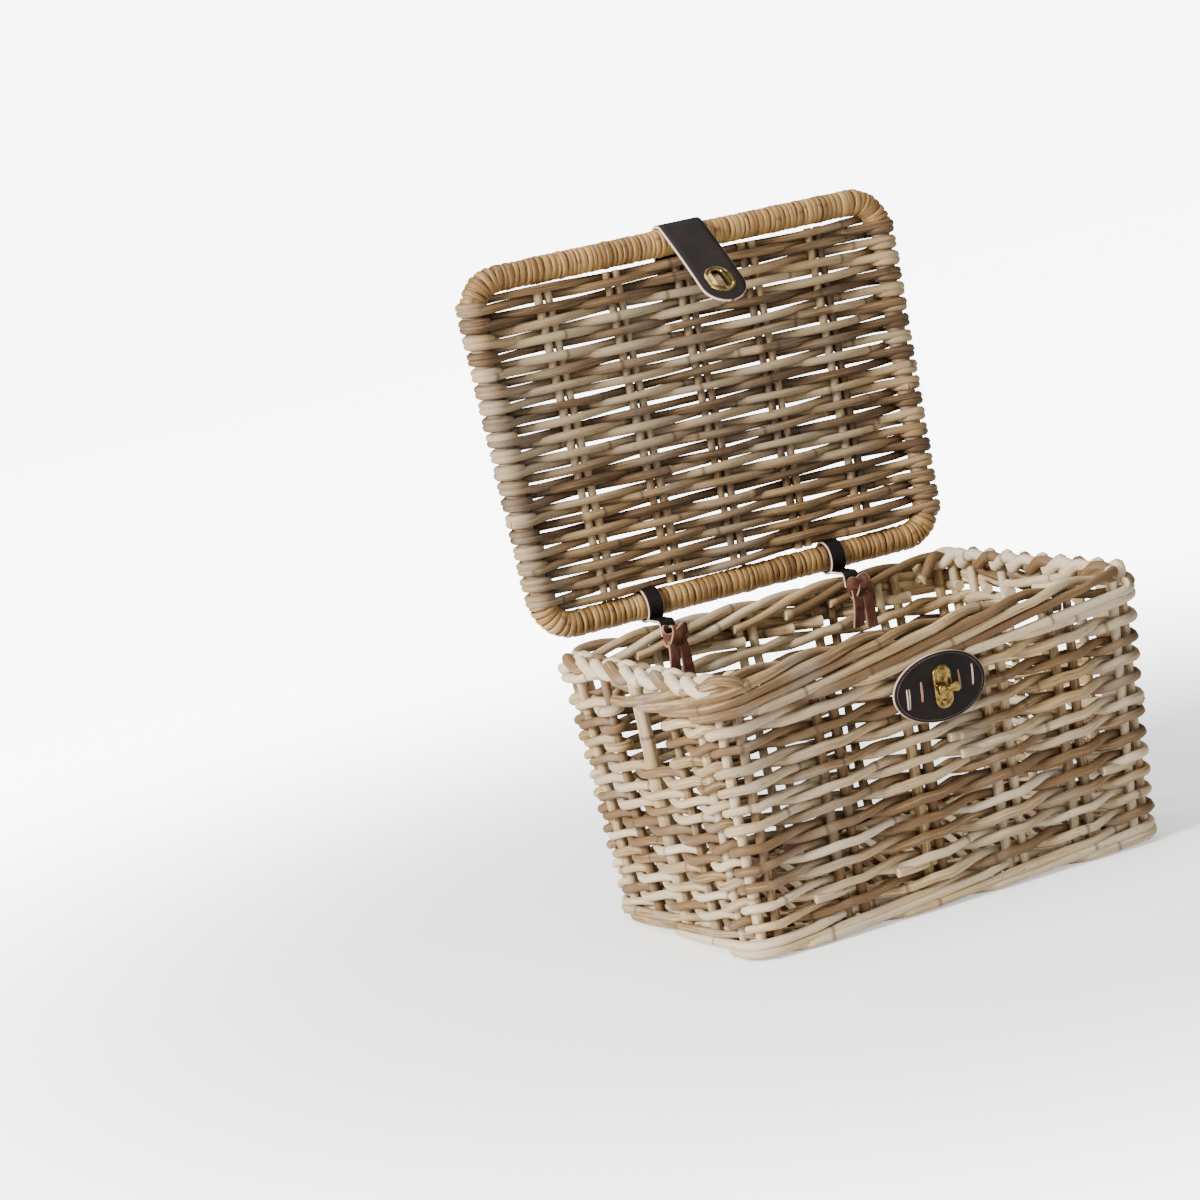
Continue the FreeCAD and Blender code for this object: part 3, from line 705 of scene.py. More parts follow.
def rolled_cane(bundle, z, s_start, span, radius, low, high, outer, inner, sink=OVERLAP):
    """A cane that comes out at the low edge, climbs along the outside, goes over and ends inside."""
    t = np.linspace(0, 1, 46)
    s = s_start + t * span
    climb = low + (high - low) * smooth_share(t * 1.35 - 0.05)
    over = smooth_share((t - 0.60) / 0.18)
    come_out = smooth_share(t / 0.10)
    depth = -inner + (outer + inner) * come_out - sink * (t - 0.3) * come_out
    depth = depth * (1 - over) - inner * over
    hump = np.sin(np.clip((t - 0.60) / 0.18, 0, 1) * math.pi)
    rise = climb + hump * 0.002 - (high - low) * 0.55 * smooth_share((t - 0.74) / 0.26)
    add_cane(bundle, wall_point(s, z, depth, rise), radius, taper=0.12)


FOOT_CANES = 14
foot_z = 0.010
foot_round = wall_lengths(foot_z)[-1]
for number in range(FOOT_CANES):
    s_start = (number + rng.uniform(-0.15, 0.15)) * foot_round / FOOT_CANES
    rolled_cane(foot, foot_z, s_start, rng.uniform(0.30, 0.34), FOOT_ROD * rng.uniform(0.94, 1.05),
                low=-0.0053, high=0.0066, outer=0.0062, inner=0.0068)
foot_piece = cane_piece("foot_rolled_canes", foot, body_cane)
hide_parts("foot_border")
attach(foot_piece, "basket")


# ---- rim ----
# The stakes' upper ends laid down as a rolled border: long sloping canes on the long sides, and
# on each end, over the tails of those canes, a plait of three thicker ones.

RIM_ROD = 0.0045
TOP_SHARE = 0.66                   # of a cane's length, where it is highest
RUN_ON = 0.11                      # the long canes run on this far, under the plait
LONG_PITCH, LONG_SPAN = 0.046, 0.31
PLAIT_ROD = 0.0048
PLAIT_WAVE = 0.084                 # along the rim, for one strand to come back to its side
PLAIT_SWING, PLAIT_LIFT = 0.0064, 0.0042
PLAIT_RISE = 0.0088
PLAIT_OVERRUN = 0.020
PLAIT_DIP = 0.010                  # the plait's two ends go down between the long canes
rim = cane_bundle()
rim_z = RIM - BORDER_HEIGHT / 2
front_run, _, bend_run, rim_round = wall_lengths(rim_z)
half_round = rim_round / 2

for face_start in (0.0, half_round):
    top_at = 0.0
    while top_at < front_run + RUN_ON:
        span = LONG_SPAN * rng.uniform(0.94, 1.06)
        under = 0.013 * smooth_share((top_at - front_run + 0.02) / 0.04)
        s_start = face_start + top_at - TOP_SHARE * span
        rolled_cane(rim, rim_z, s_start, span, RIM_ROD * rng.uniform(0.93, 1.07),
                    low=-0.0150, high=0.0125 - under, outer=0.0072, inner=0.0066, sink=0.0050)
        top_at += LONG_PITCH * rng.uniform(0.9, 1.1)
    s = np.linspace(front_run + 0.3 * bend_run, half_round + PLAIT_OVERRUN, 110)
    meet = np.minimum(s - s[0], s[-1] - s) / PLAIT_OVERRUN
    for strand in range(3):
        turn = 2 * math.pi * (s / PLAIT_WAVE + strand / 3)
        depth = PLAIT_SWING * np.sin(turn)
        rise = PLAIT_RISE + PLAIT_LIFT * np.sin(2 * turn) - PLAIT_DIP * smooth_share(1 - meet)
        add_cane(rim, wall_point(face_start + s, rim_z, depth, rise), PLAIT_ROD * rng.uniform(0.96, 1.04))
rim_piece = cane_piece("rim_rolled_canes", rim, body_cane)
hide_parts("front_border", "rear_border", "left_border", "right_border")
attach(rim_piece, "basket")


# ---- lid frame ----
# A bent cane along the front and the rear of the lid, wound from end to end with glossy cane
# peel, and a plain cane down each side. The wound bars carry the strap and the leather ties.

lid_cane = cane_material(
    "lid_cane", dark=(0.072, 0.038, 0.015, 1), middle=(0.215, 0.127, 0.052, 1),
    pale=(0.395, 0.265, 0.120, 1), grey=(0.270, 0.222, 0.160, 1), fleck=(0.032, 0.018, 0.010, 1),
    weathered=0.55, roughness=0.60)
peel_cane = cane_material(
    "golden_peel", dark=(0.120, 0.055, 0.013, 1), middle=(0.290, 0.155, 0.042, 1),
    pale=(0.430, 0.265, 0.090, 1), grey=(0.330, 0.220, 0.105, 1), fleck=(0.070, 0.034, 0.012, 1),
    weathered=0.15, roughness=0.52, coat=0.06)


def plain_cane_material(name, colour, dark):
    """For the bars inside the windings, where there is no cane of its own to follow."""
    material, tree, shader = new_material(name)
    place = tree.nodes.new("ShaderNodeTexCoord").outputs["Object"]
    grain = noise_node(tree, place, 130.0, 4.0, 0.6)
    link(tree, mix_colours(tree, grain, dark, colour), shader.inputs["Base Color"])
    shader.inputs["Roughness"].default_value = 0.7
    bump_node(tree, shader, grain, 0.3, 0.0005)
    return material


def repaint(material, *nodes):
    """Give CAD pieces that stay as they are a better finish."""
    for node in nodes:
        mesh = frame["nodes"][node].data
        mesh.materials.clear()
        mesh.materials.append(material)


bar_cane = plain_cane_material("bar_cane", (0.30, 0.20, 0.11, 1), (0.12, 0.07, 0.04, 1))
repaint(bar_cane, "lid_front_bar", "lid_rear_bar", "lid_left_rail", "lid_right_rail")

LID_CORNER = 0.026
WRAP_RADIUS = 0.012
front_low, front_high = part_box("lid_front_wrap")
rear_low, rear_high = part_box("lid_rear_wrap")
lid_joint = [joint for joint in frame["joints"] if joint["name"] == "lid_hinge"][0]
HINGE = Vector(lid_joint["pos_m"])
OPEN_ANGLE = math.radians(lid_joint["range_deg"][1])
lid_middle = (front_low.x + front_high.x) / 2
front_half = (front_high.x - front_low.x) / 2 - WRAP_RADIUS
rear_half = (rear_high.x - rear_low.x) / 2 - WRAP_RADIUS
LID_SPAN = (front_high.z - WRAP_RADIUS - HINGE.z) / math.sin(OPEN_ANGLE)


def lid_points(x, along, rise=0.0):
    """Points of the open lid: along runs from the rear bar to the front bar, rise is outwards."""
    x, along, rise = np.broadcast_arrays(np.atleast_1d(np.asarray(x, float)), along, rise)
    y = HINGE.y - along * math.cos(OPEN_ANGLE) + rise * math.sin(OPEN_ANGLE)
    z = HINGE.z + along * math.sin(OPEN_ANGLE) + rise * math.cos(OPEN_ANGLE)
    return np.stack([x + lid_middle, y, z], axis=1)


def lid_half(along):
    """Half the lid's width, which grows a little towards the front bar."""
    return rear_half + (front_half - rear_half) * along / LID_SPAN


def bar_line(front, count):
    """Centre line of a bar with its two bends, in even steps, and its length."""
    outward = 1 if front else -1
    middle = LID_SPAN - LID_CORNER if front else LID_CORNER
    centre_x = lid_half(middle) - LID_CORNER
    turn = np.linspace(0, math.pi / 2, 24)
    right = np.stack([centre_x + LID_CORNER * np.sin(turn),
                      middle + outward * LID_CORNER * np.cos(turn)], axis=1)
    left = right[::-1] * np.array([-1, 1])
    flat = np.concatenate([left, right])
    steps = np.concatenate([[0], np.cumsum(np.linalg.norm(np.diff(flat, axis=0), axis=1))])
    even = np.linspace(0, steps[-1], count)
    line = np.stack([np.interp(even, steps, flat[:, axis]) for axis in range(2)], axis=1)
    return line, steps[-1]


PEEL_HALF = 0.0028                 # of a turn's width
PEEL_THICKNESS = 0.0009
PEEL_SEGMENTS = 22                 # round the bar
PEEL_SECTION = ((-1.0, -1.0), (-0.86, 0.35), (-0.4, 0.9), (0.4, 0.9), (0.86, 0.35), (1.0, -1.0))
BAR_STEPS = 900
BARE_END = 0.003
PEEL_CRISP = math.radians(60)


def finish_mesh(mesh, material, angle):
    """Faces outwards, smooth where it is not sharp."""
    shape = bmesh.new()
    shape.from_mesh(mesh)
    bmesh.ops.recalc_face_normals(shape, faces=shape.faces)
    shape.to_mesh(mesh)
    shape.free()
    mesh.materials.append(material)
    mesh.shade_smooth()
    mesh.set_sharp_from_angle(angle=angle)


def ring_faces(first, rings, count, closed):
    """Faces between rings of count points each: closed joins the last ring to the first."""
    faces = []
    for row in range(rings if closed else rings - 1):
        near = first + row * count
        far = first + (row + 1) % rings * count
        for step in range(count):
            after = (step + 1) % count
            faces.append((near + step, near + after, far + after, far + step))
    return faces


def winding(name, front, material):
    """Peel wound round a bar: one flat turn beside another, each a little uneven."""
    path, length = bar_line(front, BAR_STEPS)
    way = np.gradient(path, axis=0)
    way /= np.linalg.norm(way, axis=1)[:, None]
    vertices, faces, rings, alongs, tones = [], [], [], [], []
    place = BARE_END
    shade = rng.random()
    while place < length - BARE_END:
        half = PEEL_HALF * rng.uniform(0.62, 1.2)
        index = int(min(place + half, length) / length * (BAR_STEPS - 1))
        centre, direction = path[index], way[index]
        normal = np.array([-direction[1], direction[0]])
        angle = np.linspace(0, 2 * math.pi, PEEL_SEGMENTS, endpoint=False)
        lean = rng.normal(0.0011, 0.0005) * np.cos(angle + 0.6 + rng.normal(0, 0.3))
        reach = WRAP_RADIUS - 0.0014 + rng.normal(0, 0.00022)
        swell = 1 + 0.10 * np.sin(angle * 2 + rng.uniform(0, 6))
        first = len(vertices)
        shade = np.clip(0.6 * shade + 0.4 * rng.random() + rng.normal(0, 0.05), 0, 1)
        start = rng.random() * 3
        for wide, tall in PEEL_SECTION:
            shift = lean + wide * half * swell
            out = reach + tall * PEEL_THICKNESS
            side = centre + normal * (out * np.cos(angle))[:, None] + direction * shift[:, None]
            vertices.extend(lid_points(side[:, 0], side[:, 1], out * np.sin(angle)).tolist())
            rings.extend([(wide * 1.6, tall * 0.4, 0.0)] * PEEL_SEGMENTS)
            alongs.extend((start + angle * reach).tolist())
            tones.extend([shade] * PEEL_SEGMENTS)
        faces += ring_faces(first, len(PEEL_SECTION), PEEL_SEGMENTS, closed=True)
        place += 2 * half * rng.uniform(0.93, 1.02)
    mesh = bpy.data.meshes.new(name)
    mesh.from_pydata(vertices, [], faces)
    mesh.attributes.new("ring", "FLOAT_VECTOR", "POINT").data.foreach_set(
        "vector", np.array(rings, np.float32).ravel())
    for key, values in (("along", alongs), ("tone", tones), ("tip", np.zeros(len(tones)))):
        mesh.attributes.new(key, "FLOAT", "POINT").data.foreach_set("value", np.array(values, np.float32))
    finish_mesh(mesh, material, PEEL_CRISP)
    return new_object(name, mesh)


for front, node in ((True, "front"), (False, "rear")):
    piece = winding(f"lid_{node}_peel_winding", front, peel_cane)
    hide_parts(f"lid_{node}_wrap")
    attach(piece, "lid")


# ---- lid panel ----
# Pairs of ribs from the rear bar to the front bar, and canes woven over and under them. At each
# side the canes go one and a half times round the rail and come back on the next row.

RIB_PAIRS = 5
RIB_GAP = 0.0092
RIB_RADIUS = 0.0036
LID_ROWS = 39
LID_WEAVER = 0.0037
LID_DEPTH = 0.0062
LID_CANES = 23                     # joined end to end
RAIL_TURN = 0.0100                 # from the rail's middle to the canes round it
RIB_ENDS, ROW_ENDS = 0.0135, 0.0165              # from the bars' middles
RIB_FLAT = 0.006                   # each side of a pair of ribs, where a cane lies flat

ribs = cane_bundle()
along_rib = np.linspace(RIB_ENDS, LID_SPAN - RIB_ENDS, 34)
rib_shares = [2 * (index + 1) / (RIB_PAIRS + 1) - 1 for index in range(RIB_PAIRS)]
for share in rib_shares:
    for offset in (-RIB_GAP / 2, RIB_GAP / 2):
        wave = 0.0004 * np.sin(along_rib * 19 + rng.uniform(0, 6))
        add_cane(ribs, lid_points(share * lid_half(along_rib) + offset, along_rib, wave), RIB_RADIUS)
ribs_piece = cane_piece("lid_rib_canes", ribs, lid_cane)
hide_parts("lid_ribs")
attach(ribs_piece, "lid")

panel = cane_bundle()
row_along = np.linspace(ROW_ENDS, LID_SPAN - ROW_ENDS, LID_ROWS)
line_x, line_along, line_rise = [], [], []
for row, along in enumerate(row_along):
    half = lid_half(along)
    stops = np.concatenate([[-half], np.array(rib_shares) * half, [half]])
    x = np.linspace(-half, half, 84)
    index = np.clip(np.searchsorted(stops, x) - 1, 0, len(stops) - 2)
    gap = stops[index + 1] - stops[index] - 2 * RIB_FLAT
    share = np.clip((x - stops[index] - RIB_FLAT) / gap, 0, 1)
    count = index + share + row
    swing = np.cos(math.pi * count)
    even = np.where(np.floor(count) % 2 == 0, 1.0, -1.0)
    straight = even * (1 - 2 * np.mod(count, 1.0))
    ends = np.clip((half - np.abs(x)) / 0.02, 0, 1)
    rise = (0.5 * swing + 0.5 * straight) * (RAIL_TURN + (LID_DEPTH - RAIL_TURN) * ends)
    wander = 0.0011 * np.sin(x * 13 + row * 2.1) + 0.0007 * np.sin(x * 37 + row * 5.3)
    rightward = row % 2 == 0
    order = slice(None) if rightward else slice(None, None, -1)
    line_x.append(x[order])
    line_along.append((along + wander * ends)[order])
    line_rise.append(rise[order])
    if row + 1 < LID_ROWS:
        side = 1 if rightward else -1
        up = 1 if rise[order][-1] > 0 else -1
        angle = np.linspace(0, 3 * math.pi, 26)[1:-1]
        progress = angle / (3 * math.pi)
        line_x.append(side * (half + RAIL_TURN * np.sin(angle)))
        line_along.append(along + (row_along[row + 1] - along) * progress)
        line_rise.append(up * RAIL_TURN * np.cos(angle))
line = lid_points(np.concatenate(line_x), np.concatenate(line_along), np.concatenate(line_rise))
joins = np.linspace(0, len(line) - 1, LID_CANES + 1).astype(int)
for first, last in zip(joins[:-1], joins[1:]):
    add_cane(panel, line[first:last + 1], LID_WEAVER * rng.uniform(0.93, 1.07))
panel_piece = cane_piece("lid_woven_canes", panel, lid_cane)
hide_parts("lid_weave")
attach(panel_piece, "lid")


# ---- closing strap ----
# One strip of dark brown leather, held on the outside of the lid by two laces, bent over the
# front bar, and ending in a rounded tongue with a slot. Its cut edges are raw and pale.

def build_hide_marks():
    """Pores, creases and rubbed places of leather."""
    group = bpy.data.node_groups.new("hide_marks", "ShaderNodeTree")
    socket(group, "Place", "INPUT", "NodeSocketVector")
    socket(group, "Pore Scale", "INPUT", "NodeSocketFloat")
    for name in ("Pores", "Rub", "Height"):
        socket(group, name, "OUTPUT", "NodeSocketFloat")
    entry = group.nodes.new("NodeGroupInput")
    leave = group.nodes.new("NodeGroupOutput")
    cells = group.nodes.new("ShaderNodeTexVoronoi")
    link(group, entry.outputs["Place"], cells.inputs["Vector"])
    link(group, entry.outputs["Pore Scale"], cells.inputs["Scale"])
    rub = noise_node(group, entry.outputs["Place"], 46.0, 5.0, 0.6)
    crease = noise_node(group, entry.outputs["Place"], 190.0, 3.0, 0.6)
    link(group, cells.outputs["Distance"], leave.inputs["Pores"])
    link(group, rub, leave.inputs["Rub"])
    height = math_node(group, "MULTIPLY_ADD", crease, 0.6, cells.outputs["Distance"])
    link(group, height, leave.inputs["Height"])
    return group


hide_marks = build_hide_marks()


def leather_material(name, deep, worn, raw, roughness, pore_scale, bump_depth, raw_share=1.0):
    """Leather between deep and worn, and raw where the attribute edge marks a cut edge."""
    material, tree, shader = new_material(name)
    shader.inputs["Specular IOR Level"].default_value = 0.14
    marks = tree.nodes.new("ShaderNodeGroup")
    marks.node_tree = hide_marks
    marks.inputs["Pore Scale"].default_value = pore_scale
    link(tree, tree.nodes.new("ShaderNodeTexCoord").outputs["Object"], marks.inputs["Place"])
    colour = mix_colours(tree, step_node(tree, marks.outputs["Rub"], 0.40, 0.78), deep, worn)
    edge = math_node(tree, "MULTIPLY", attribute_node(tree, "edge").outputs["Fac"], raw_share)
    colour = mix_colours(tree, edge, colour, raw)
    link(tree, colour, shader.inputs["Base Color"])
    rough = math_node(tree, "MULTIPLY_ADD", marks.outputs["Rub"], 0.30, roughness - 0.15)
    rough = math_node(tree, "MULTIPLY_ADD", edge, 0.2, rough, clamp=True)
    link(tree, rough, shader.inputs["Roughness"])
    bump_node(tree, shader, marks.outputs["Height"], 0.5, bump_depth)
    return material


dark_leather = leather_material("dark_leather", (0.0060, 0.0038, 0.0030, 1), (0.0170, 0.0105, 0.0080, 1),
                                (0.60, 0.42, 0.34, 1), 0.58, 900.0, 0.00012)
tie_leather = leather_material("suede_ties", (0.060, 0.021, 0.012, 1), (0.200, 0.084, 0.050, 1),
                               (0.42, 0.26, 0.19, 1), 0.85, 1400.0, 0.00035, raw_share=0.7)
lace_leather = leather_material("tan_laces", (0.16, 0.062, 0.026, 1), (0.34, 0.165, 0.085, 1),
                                (0.56, 0.44, 0.36, 1), 0.60, 1200.0, 0.00015)


FACE_POINTS = 9                    # across each face of a strip


def strip_loops(path, across, half_widths, thickness):
    """Sections of a flat strip along a path, with rounded edges, and which points are cut edge."""
    path = np.asarray(path, float)
    across = np.asarray(across, float)
    way = np.gradient(path, axis=0)
    way /= np.linalg.norm(way, axis=1)[:, None]
    normal = np.cross(way, across)
    normal /= np.linalg.norm(normal, axis=1)[:, None]
    half = thickness / 2
    inset = np.minimum(half * 0.5, half_widths * 0.3)
    wide = np.linspace(-1, 1, FACE_POINTS)
    loops, edge = [], []
    for centre, up, width, soft in zip(path, normal, half_widths, inset):
        top = [centre + across * (share * (width - soft)) + up * half for share in wide]
        right = [centre + across * width + up * (half * k) for k in (0.55, -0.55)]
        bottom = [centre + across * (share * (width - soft)) - up * half for share in wide[::-1]]
        left = [centre - across * width + up * (half * k) for k in (-0.55, 0.55)]
        loops.append(top + right + bottom + left)
        edge.extend(([0.0] * FACE_POINTS + [1.0] * 2) * 2)
    return loops, edge


def end_faces(first, rings, count):
    """The flat faces that close the first and the last ring."""
    last = first + (rings - 1) * count
    return [tuple(range(first, first + count))[::-1], tuple(range(last, last + count))]


def loft(name, parts, material):
    """One closed piece for each (loops, edge) of parts, all in one mesh."""
    vertices, faces, edges = [], [], []
    for loops, edge in parts:
        first = len(vertices)
        count = len(loops[0])
        for loop in loops:
            vertices.extend(tuple(point) for point in loop)
        edges.extend(edge)
        faces += ring_faces(first, len(loops), count, closed=False) + end_faces(first, len(loops), count)
    mesh = bpy.data.meshes.new(name)
    mesh.from_pydata(vertices, [], faces)
    mesh.attributes.new("edge", "FLOAT", "POINT").data.foreach_set("value", np.array(edges, np.float32))
    finish_mesh(mesh, material, CRISP)
    return new_object(name, mesh)


STRAP_LEATHER = 0.003
STRAP_MIDDLE = 0.0139              # of the leather's thickness, from the bar's centre
ANCHOR_LENGTH = 0.056
TONGUE_LENGTH = 0.095
TONGUE_TURN = math.radians(134)    # round the bar, from the lid's outer face
TONGUE_BOW = 0.0012
ANCHOR_CORNER = 0.008
anchor_low, anchor_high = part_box("strap_anchor")
strap_x = (anchor_low.x + anchor_high.x) / 2 - lid_middle
strap_half = (anchor_high.x - anchor_low.x) / 2

anchor_steps = np.linspace(ANCHOR_LENGTH, 0.001, 16)
route = [(LID_SPAN - back, STRAP_MIDDLE) for back in anchor_steps]
route += [(LID_SPAN + STRAP_MIDDLE * math.sin(turn), STRAP_MIDDLE * math.cos(turn))
          for turn in np.linspace(0, TONGUE_TURN, 30)]
tongue_way = np.array([math.cos(TONGUE_TURN), -math.sin(TONGUE_TURN)])
tongue_out = np.array([math.sin(TONGUE_TURN), math.cos(TONGUE_TURN)])
tongue_root = np.array(route[-1])
tongue_steps = TONGUE_LENGTH * (1 - (1 - np.linspace(0, 1, 40)[1:]) ** 1.6)
for step in tongue_steps:
    bow = TONGUE_BOW * math.sin(math.pi * min(step / TONGUE_LENGTH, 1))
    route.append(tuple(tongue_root + tongue_way * step + tongue_out * bow))
route = np.array(route)


def round_corner(distance, radius, least):
    """How far a rounded corner reaches sideways, this far from its end."""
    inside = radius - np.minimum(distance, radius)
    return np.sqrt(np.clip(radius ** 2 - inside ** 2, least, None))


widths = np.full(len(route), strap_half)
widths[-len(tongue_steps):] = round_corner(TONGUE_LENGTH - tongue_steps, strap_half, 4e-6)
widths[:len(anchor_steps)] = strap_half - ANCHOR_CORNER + round_corner(
    ANCHOR_LENGTH - anchor_steps, ANCHOR_CORNER, 0)
strap_line = lid_points(np.full(len(route), strap_x), route[:, 0], route[:, 1])
strap = loft("closing_strap", [strip_loops(strap_line, (1, 0, 0), widths, STRAP_LEATHER)], dark_leather)

BAR_CENTRE = lid_points(strap_x, LID_SPAN, 0.0)[0]
TONGUE_DOWN, TONGUE_OUT = [lid_points(0, *way)[0] - lid_points(0, 0.0)[0] for way in (tongue_way, tongue_out)]
EYELET_AT = 0.070
SLOT_LENGTH, SLOT_WIDTH = 0.021, 0.009
SLOT_ROOM = 0.0008                 # the leather is cut this much wider than the eyelet's slot
EYELET_LENGTH, EYELET_WIDTH = 0.031, 0.025
RING_CRISP = math.radians(40)


def tongue_place(points):
    """Points drawn flat on the tongue: across, along from the slot's middle, outwards."""
    points = np.asarray(points, float)
    centre = BAR_CENTRE + TONGUE_DOWN * EYELET_AT
    return centre + points @ np.array([(-1, 0, 0), TONGUE_DOWN, TONGUE_OUT])


def stadium(length, width, count=40):
    """Outline of a slot, long along its second axis."""
    turn = np.linspace(0, 2 * math.pi, count, endpoint=False) + 1e-4
    half = width / 2
    straight = (length - width) / 2 * np.sign(np.sin(turn))
    return np.stack([half * np.cos(turn), half * np.sin(turn) + straight], axis=1)


def levels(outer, inner, profile, place):
    """Closed rings between two outlines: profile gives the share towards the inner one, and height."""
    rings = []
    for share, height in profile:
        flat = outer + (inner - outer) * share
        rings.append(place(np.column_stack([flat, np.full(len(flat), height)])))
    return rings


def ring_piece(name, rings, material, closed=False):
    """A piece whose sections are rings: closed like a washer, or capped at both ends."""
    count = len(rings[0])
    vertices = [tuple(p) for ring in rings for p in ring]
    faces = ring_faces(0, len(rings), count, closed)
    if not closed:
        faces += end_faces(0, len(rings), count)
    mesh = bpy.data.meshes.new(name)
    mesh.from_pydata(vertices, [], faces)
    finish_mesh(mesh, material, RING_CRISP)
    return new_object(name, mesh)


slot_low, slot_high = STRAP_MIDDLE - 0.006, STRAP_MIDDLE + 0.006
slot_outline = stadium(SLOT_LENGTH + SLOT_ROOM, SLOT_WIDTH + SLOT_ROOM)
slot_rings = levels(slot_outline, slot_outline, ((0, slot_low), (0, slot_high)), tongue_place)
slot_cutter = ring_piece("slot_cutter", slot_rings, dark_leather)
punch = strap.modifiers.new("slot", "BOOLEAN")
punch.operation = "DIFFERENCE"
punch.object = slot_cutter
punch.solver = "EXACT"
bake_modifiers(strap, dark_leather)
bpy.data.objects.remove(slot_cutter)
strap.data.set_sharp_from_angle(angle=CRISP)
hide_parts("strap_anchor", "strap_tongue")
bend_from = lid_points(strap_x, LID_SPAN, STRAP_MIDDLE)[0]
bend_to = lid_points(strap_x, *tongue_root)[0]
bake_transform(strap)

LACE_HALF, LACE_LEATHER, LACE_HUMP = 0.0012, 0.0010, 0.0012
lace_low, lace_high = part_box("strap_anchor_laces")
lace_parts = []
for x in (lace_low.x + LACE_HALF, lace_high.x - LACE_HALF):
    share = np.linspace(0, 1, 12)
    along = LID_SPAN - ANCHOR_LENGTH + 0.024 + 0.016 * share
    hump = LACE_HUMP * np.sin(math.pi * share) ** 0.6
    line = lid_points(x - lid_middle, along, STRAP_MIDDLE + STRAP_LEATHER / 2 - 0.0003 + hump)
    lace_parts.append(strip_loops(line, (1, 0, 0), np.full(12, LACE_HALF), LACE_LEATHER))
anchor_laces = loft("strap_anchor_lacing", lace_parts, lace_leather)
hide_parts("strap_anchor_laces")
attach(anchor_laces, "lid")


# ---- eyelet ----
# An oval plate of antique brass on each face of the tongue, pressed together round the slot,
# with a raised lip that the turn button passes through.

def build_metal_wear():
    """Where old brass is darker, partly tarnish and partly painted dark reflection, and where it is rubbed
    bright.
    """
    group = bpy.data.node_groups.new("metal_wear", "ShaderNodeTree")
    socket(group, "Place", "INPUT", "NodeSocketVector")
    for name in ("Tarnish and Reflection", "Scratch"):
        socket(group, name, "OUTPUT", "NodeSocketFloat")
    entry = group.nodes.new("NodeGroupInput")
    leave = group.nodes.new("NodeGroupOutput")
    link(group, noise_node(group, entry.outputs["Place"], 240.0, 5.0, 0.65), leave.inputs["Tarnish and Reflection"])
    link(group, noise_node(group, entry.outputs["Place"], 1600.0, 2.0, 0.5), leave.inputs["Scratch"])
    return group


metal_wear = build_metal_wear()


def brass_material(name, bright, tarnish_and_dark_reflection):
    material, tree, shader = new_material(name)
    wear = tree.nodes.new("ShaderNodeGroup")
    wear.node_tree = metal_wear
    link(tree, tree.nodes.new("ShaderNodeTexCoord").outputs["Object"], wear.inputs["Place"])
    # Dark patches: partly tarnish, partly a painted dark reflection standing in for darker surroundings the
    # plain white room doesn't give the metal.
    tarnish_and_reflection_share = step_node(tree, wear.outputs["Tarnish and Reflection"], 0.40, 0.66)
    link(tree, mix_colours(tree, tarnish_and_reflection_share, bright, tarnish_and_dark_reflection), shader.inputs["Base Color"])
    shader.inputs["Metallic"].default_value = 1.0
    rough = math_node(tree, "MULTIPLY_ADD", tarnish_and_reflection_share, 0.20, 0.17)
    rough = math_node(tree, "MULTIPLY_ADD", wear.outputs["Scratch"], 0.08, rough)
    link(tree, rough, shader.inputs["Roughness"])
    bump_node(tree, shader, wear.outputs["Tarnish and Reflection"], 0.25, 0.0002)
    return material


# Both brass colours are kept low, so the dark patches also act as a painted reflection of darker
# surroundings.
aged_brass = brass_material("aged_brass", (0.330, 0.222, 0.066, 1), (0.070, 0.046, 0.015, 1))
EYELET_PROFILE = (  # share of the way in to the slot, height above the leather
    (0.00, 0.0), (0.00, 0.0005), (0.06, 0.0010), (0.30, 0.0013), (0.55, 0.0009),
    (0.72, 0.0016), (0.86, 0.0020), (0.97, 0.0014), (1.00, 0.0006), (1.00, 0.0))
leather_top = STRAP_MIDDLE + STRAP_LEATHER / 2
eyelet_profile = [(share, leather_top + height) for share, height in EYELET_PROFILE]
eyelet_rings = levels(stadium(EYELET_LENGTH, EYELET_WIDTH), stadium(SLOT_LENGTH, SLOT_WIDTH),
                      eyelet_profile, tongue_place)
eyelet = ring_piece("eyelet_ring", eyelet_rings, aged_brass, closed=True)
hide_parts("eyelet_plate")
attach(eyelet, "strap")
repaint(aged_brass, "eyelet_back_plate", "lock_backing_plate", "turn_spindle")


# ---- leather patch of the lock ----
# An egg-shaped piece of the same dark leather on the front wall, stitched round its edge and laced
# to the canes twice on each side of the lock. The outermost lace on the left is doubled.

lock_joint = [joint for joint in frame["joints"] if joint["name"] == "turn_button_spin"][0]
LOCK = np.array(lock_joint["pos_m"])
LOCK_OUT = np.array(lock_joint["axis"])
LOCK_UP = np.cross(LOCK_OUT, (1, 0, 0))
PATCH_LEFT, PATCH_RIGHT, PATCH_TALL = 0.0435, 0.0385, 0.0275
PATCH_BASE, PATCH_TOP = 0.0019, 0.0044


def lock_place(points):
    """Points drawn on the front wall: across, up the wall, outwards."""
    return LOCK + np.asarray(points, float) @ np.array([(1, 0, 0), LOCK_UP, LOCK_OUT])


def egg(count):
    """Outline of the patch, blunter on its right."""
    turn = np.linspace(0, 2 * math.pi, count, endpoint=False)
    x = np.cos(turn)
    return np.stack([np.where(x > 0, PATCH_RIGHT, PATCH_LEFT) * x, PATCH_TALL * np.sin(turn)], axis=1)


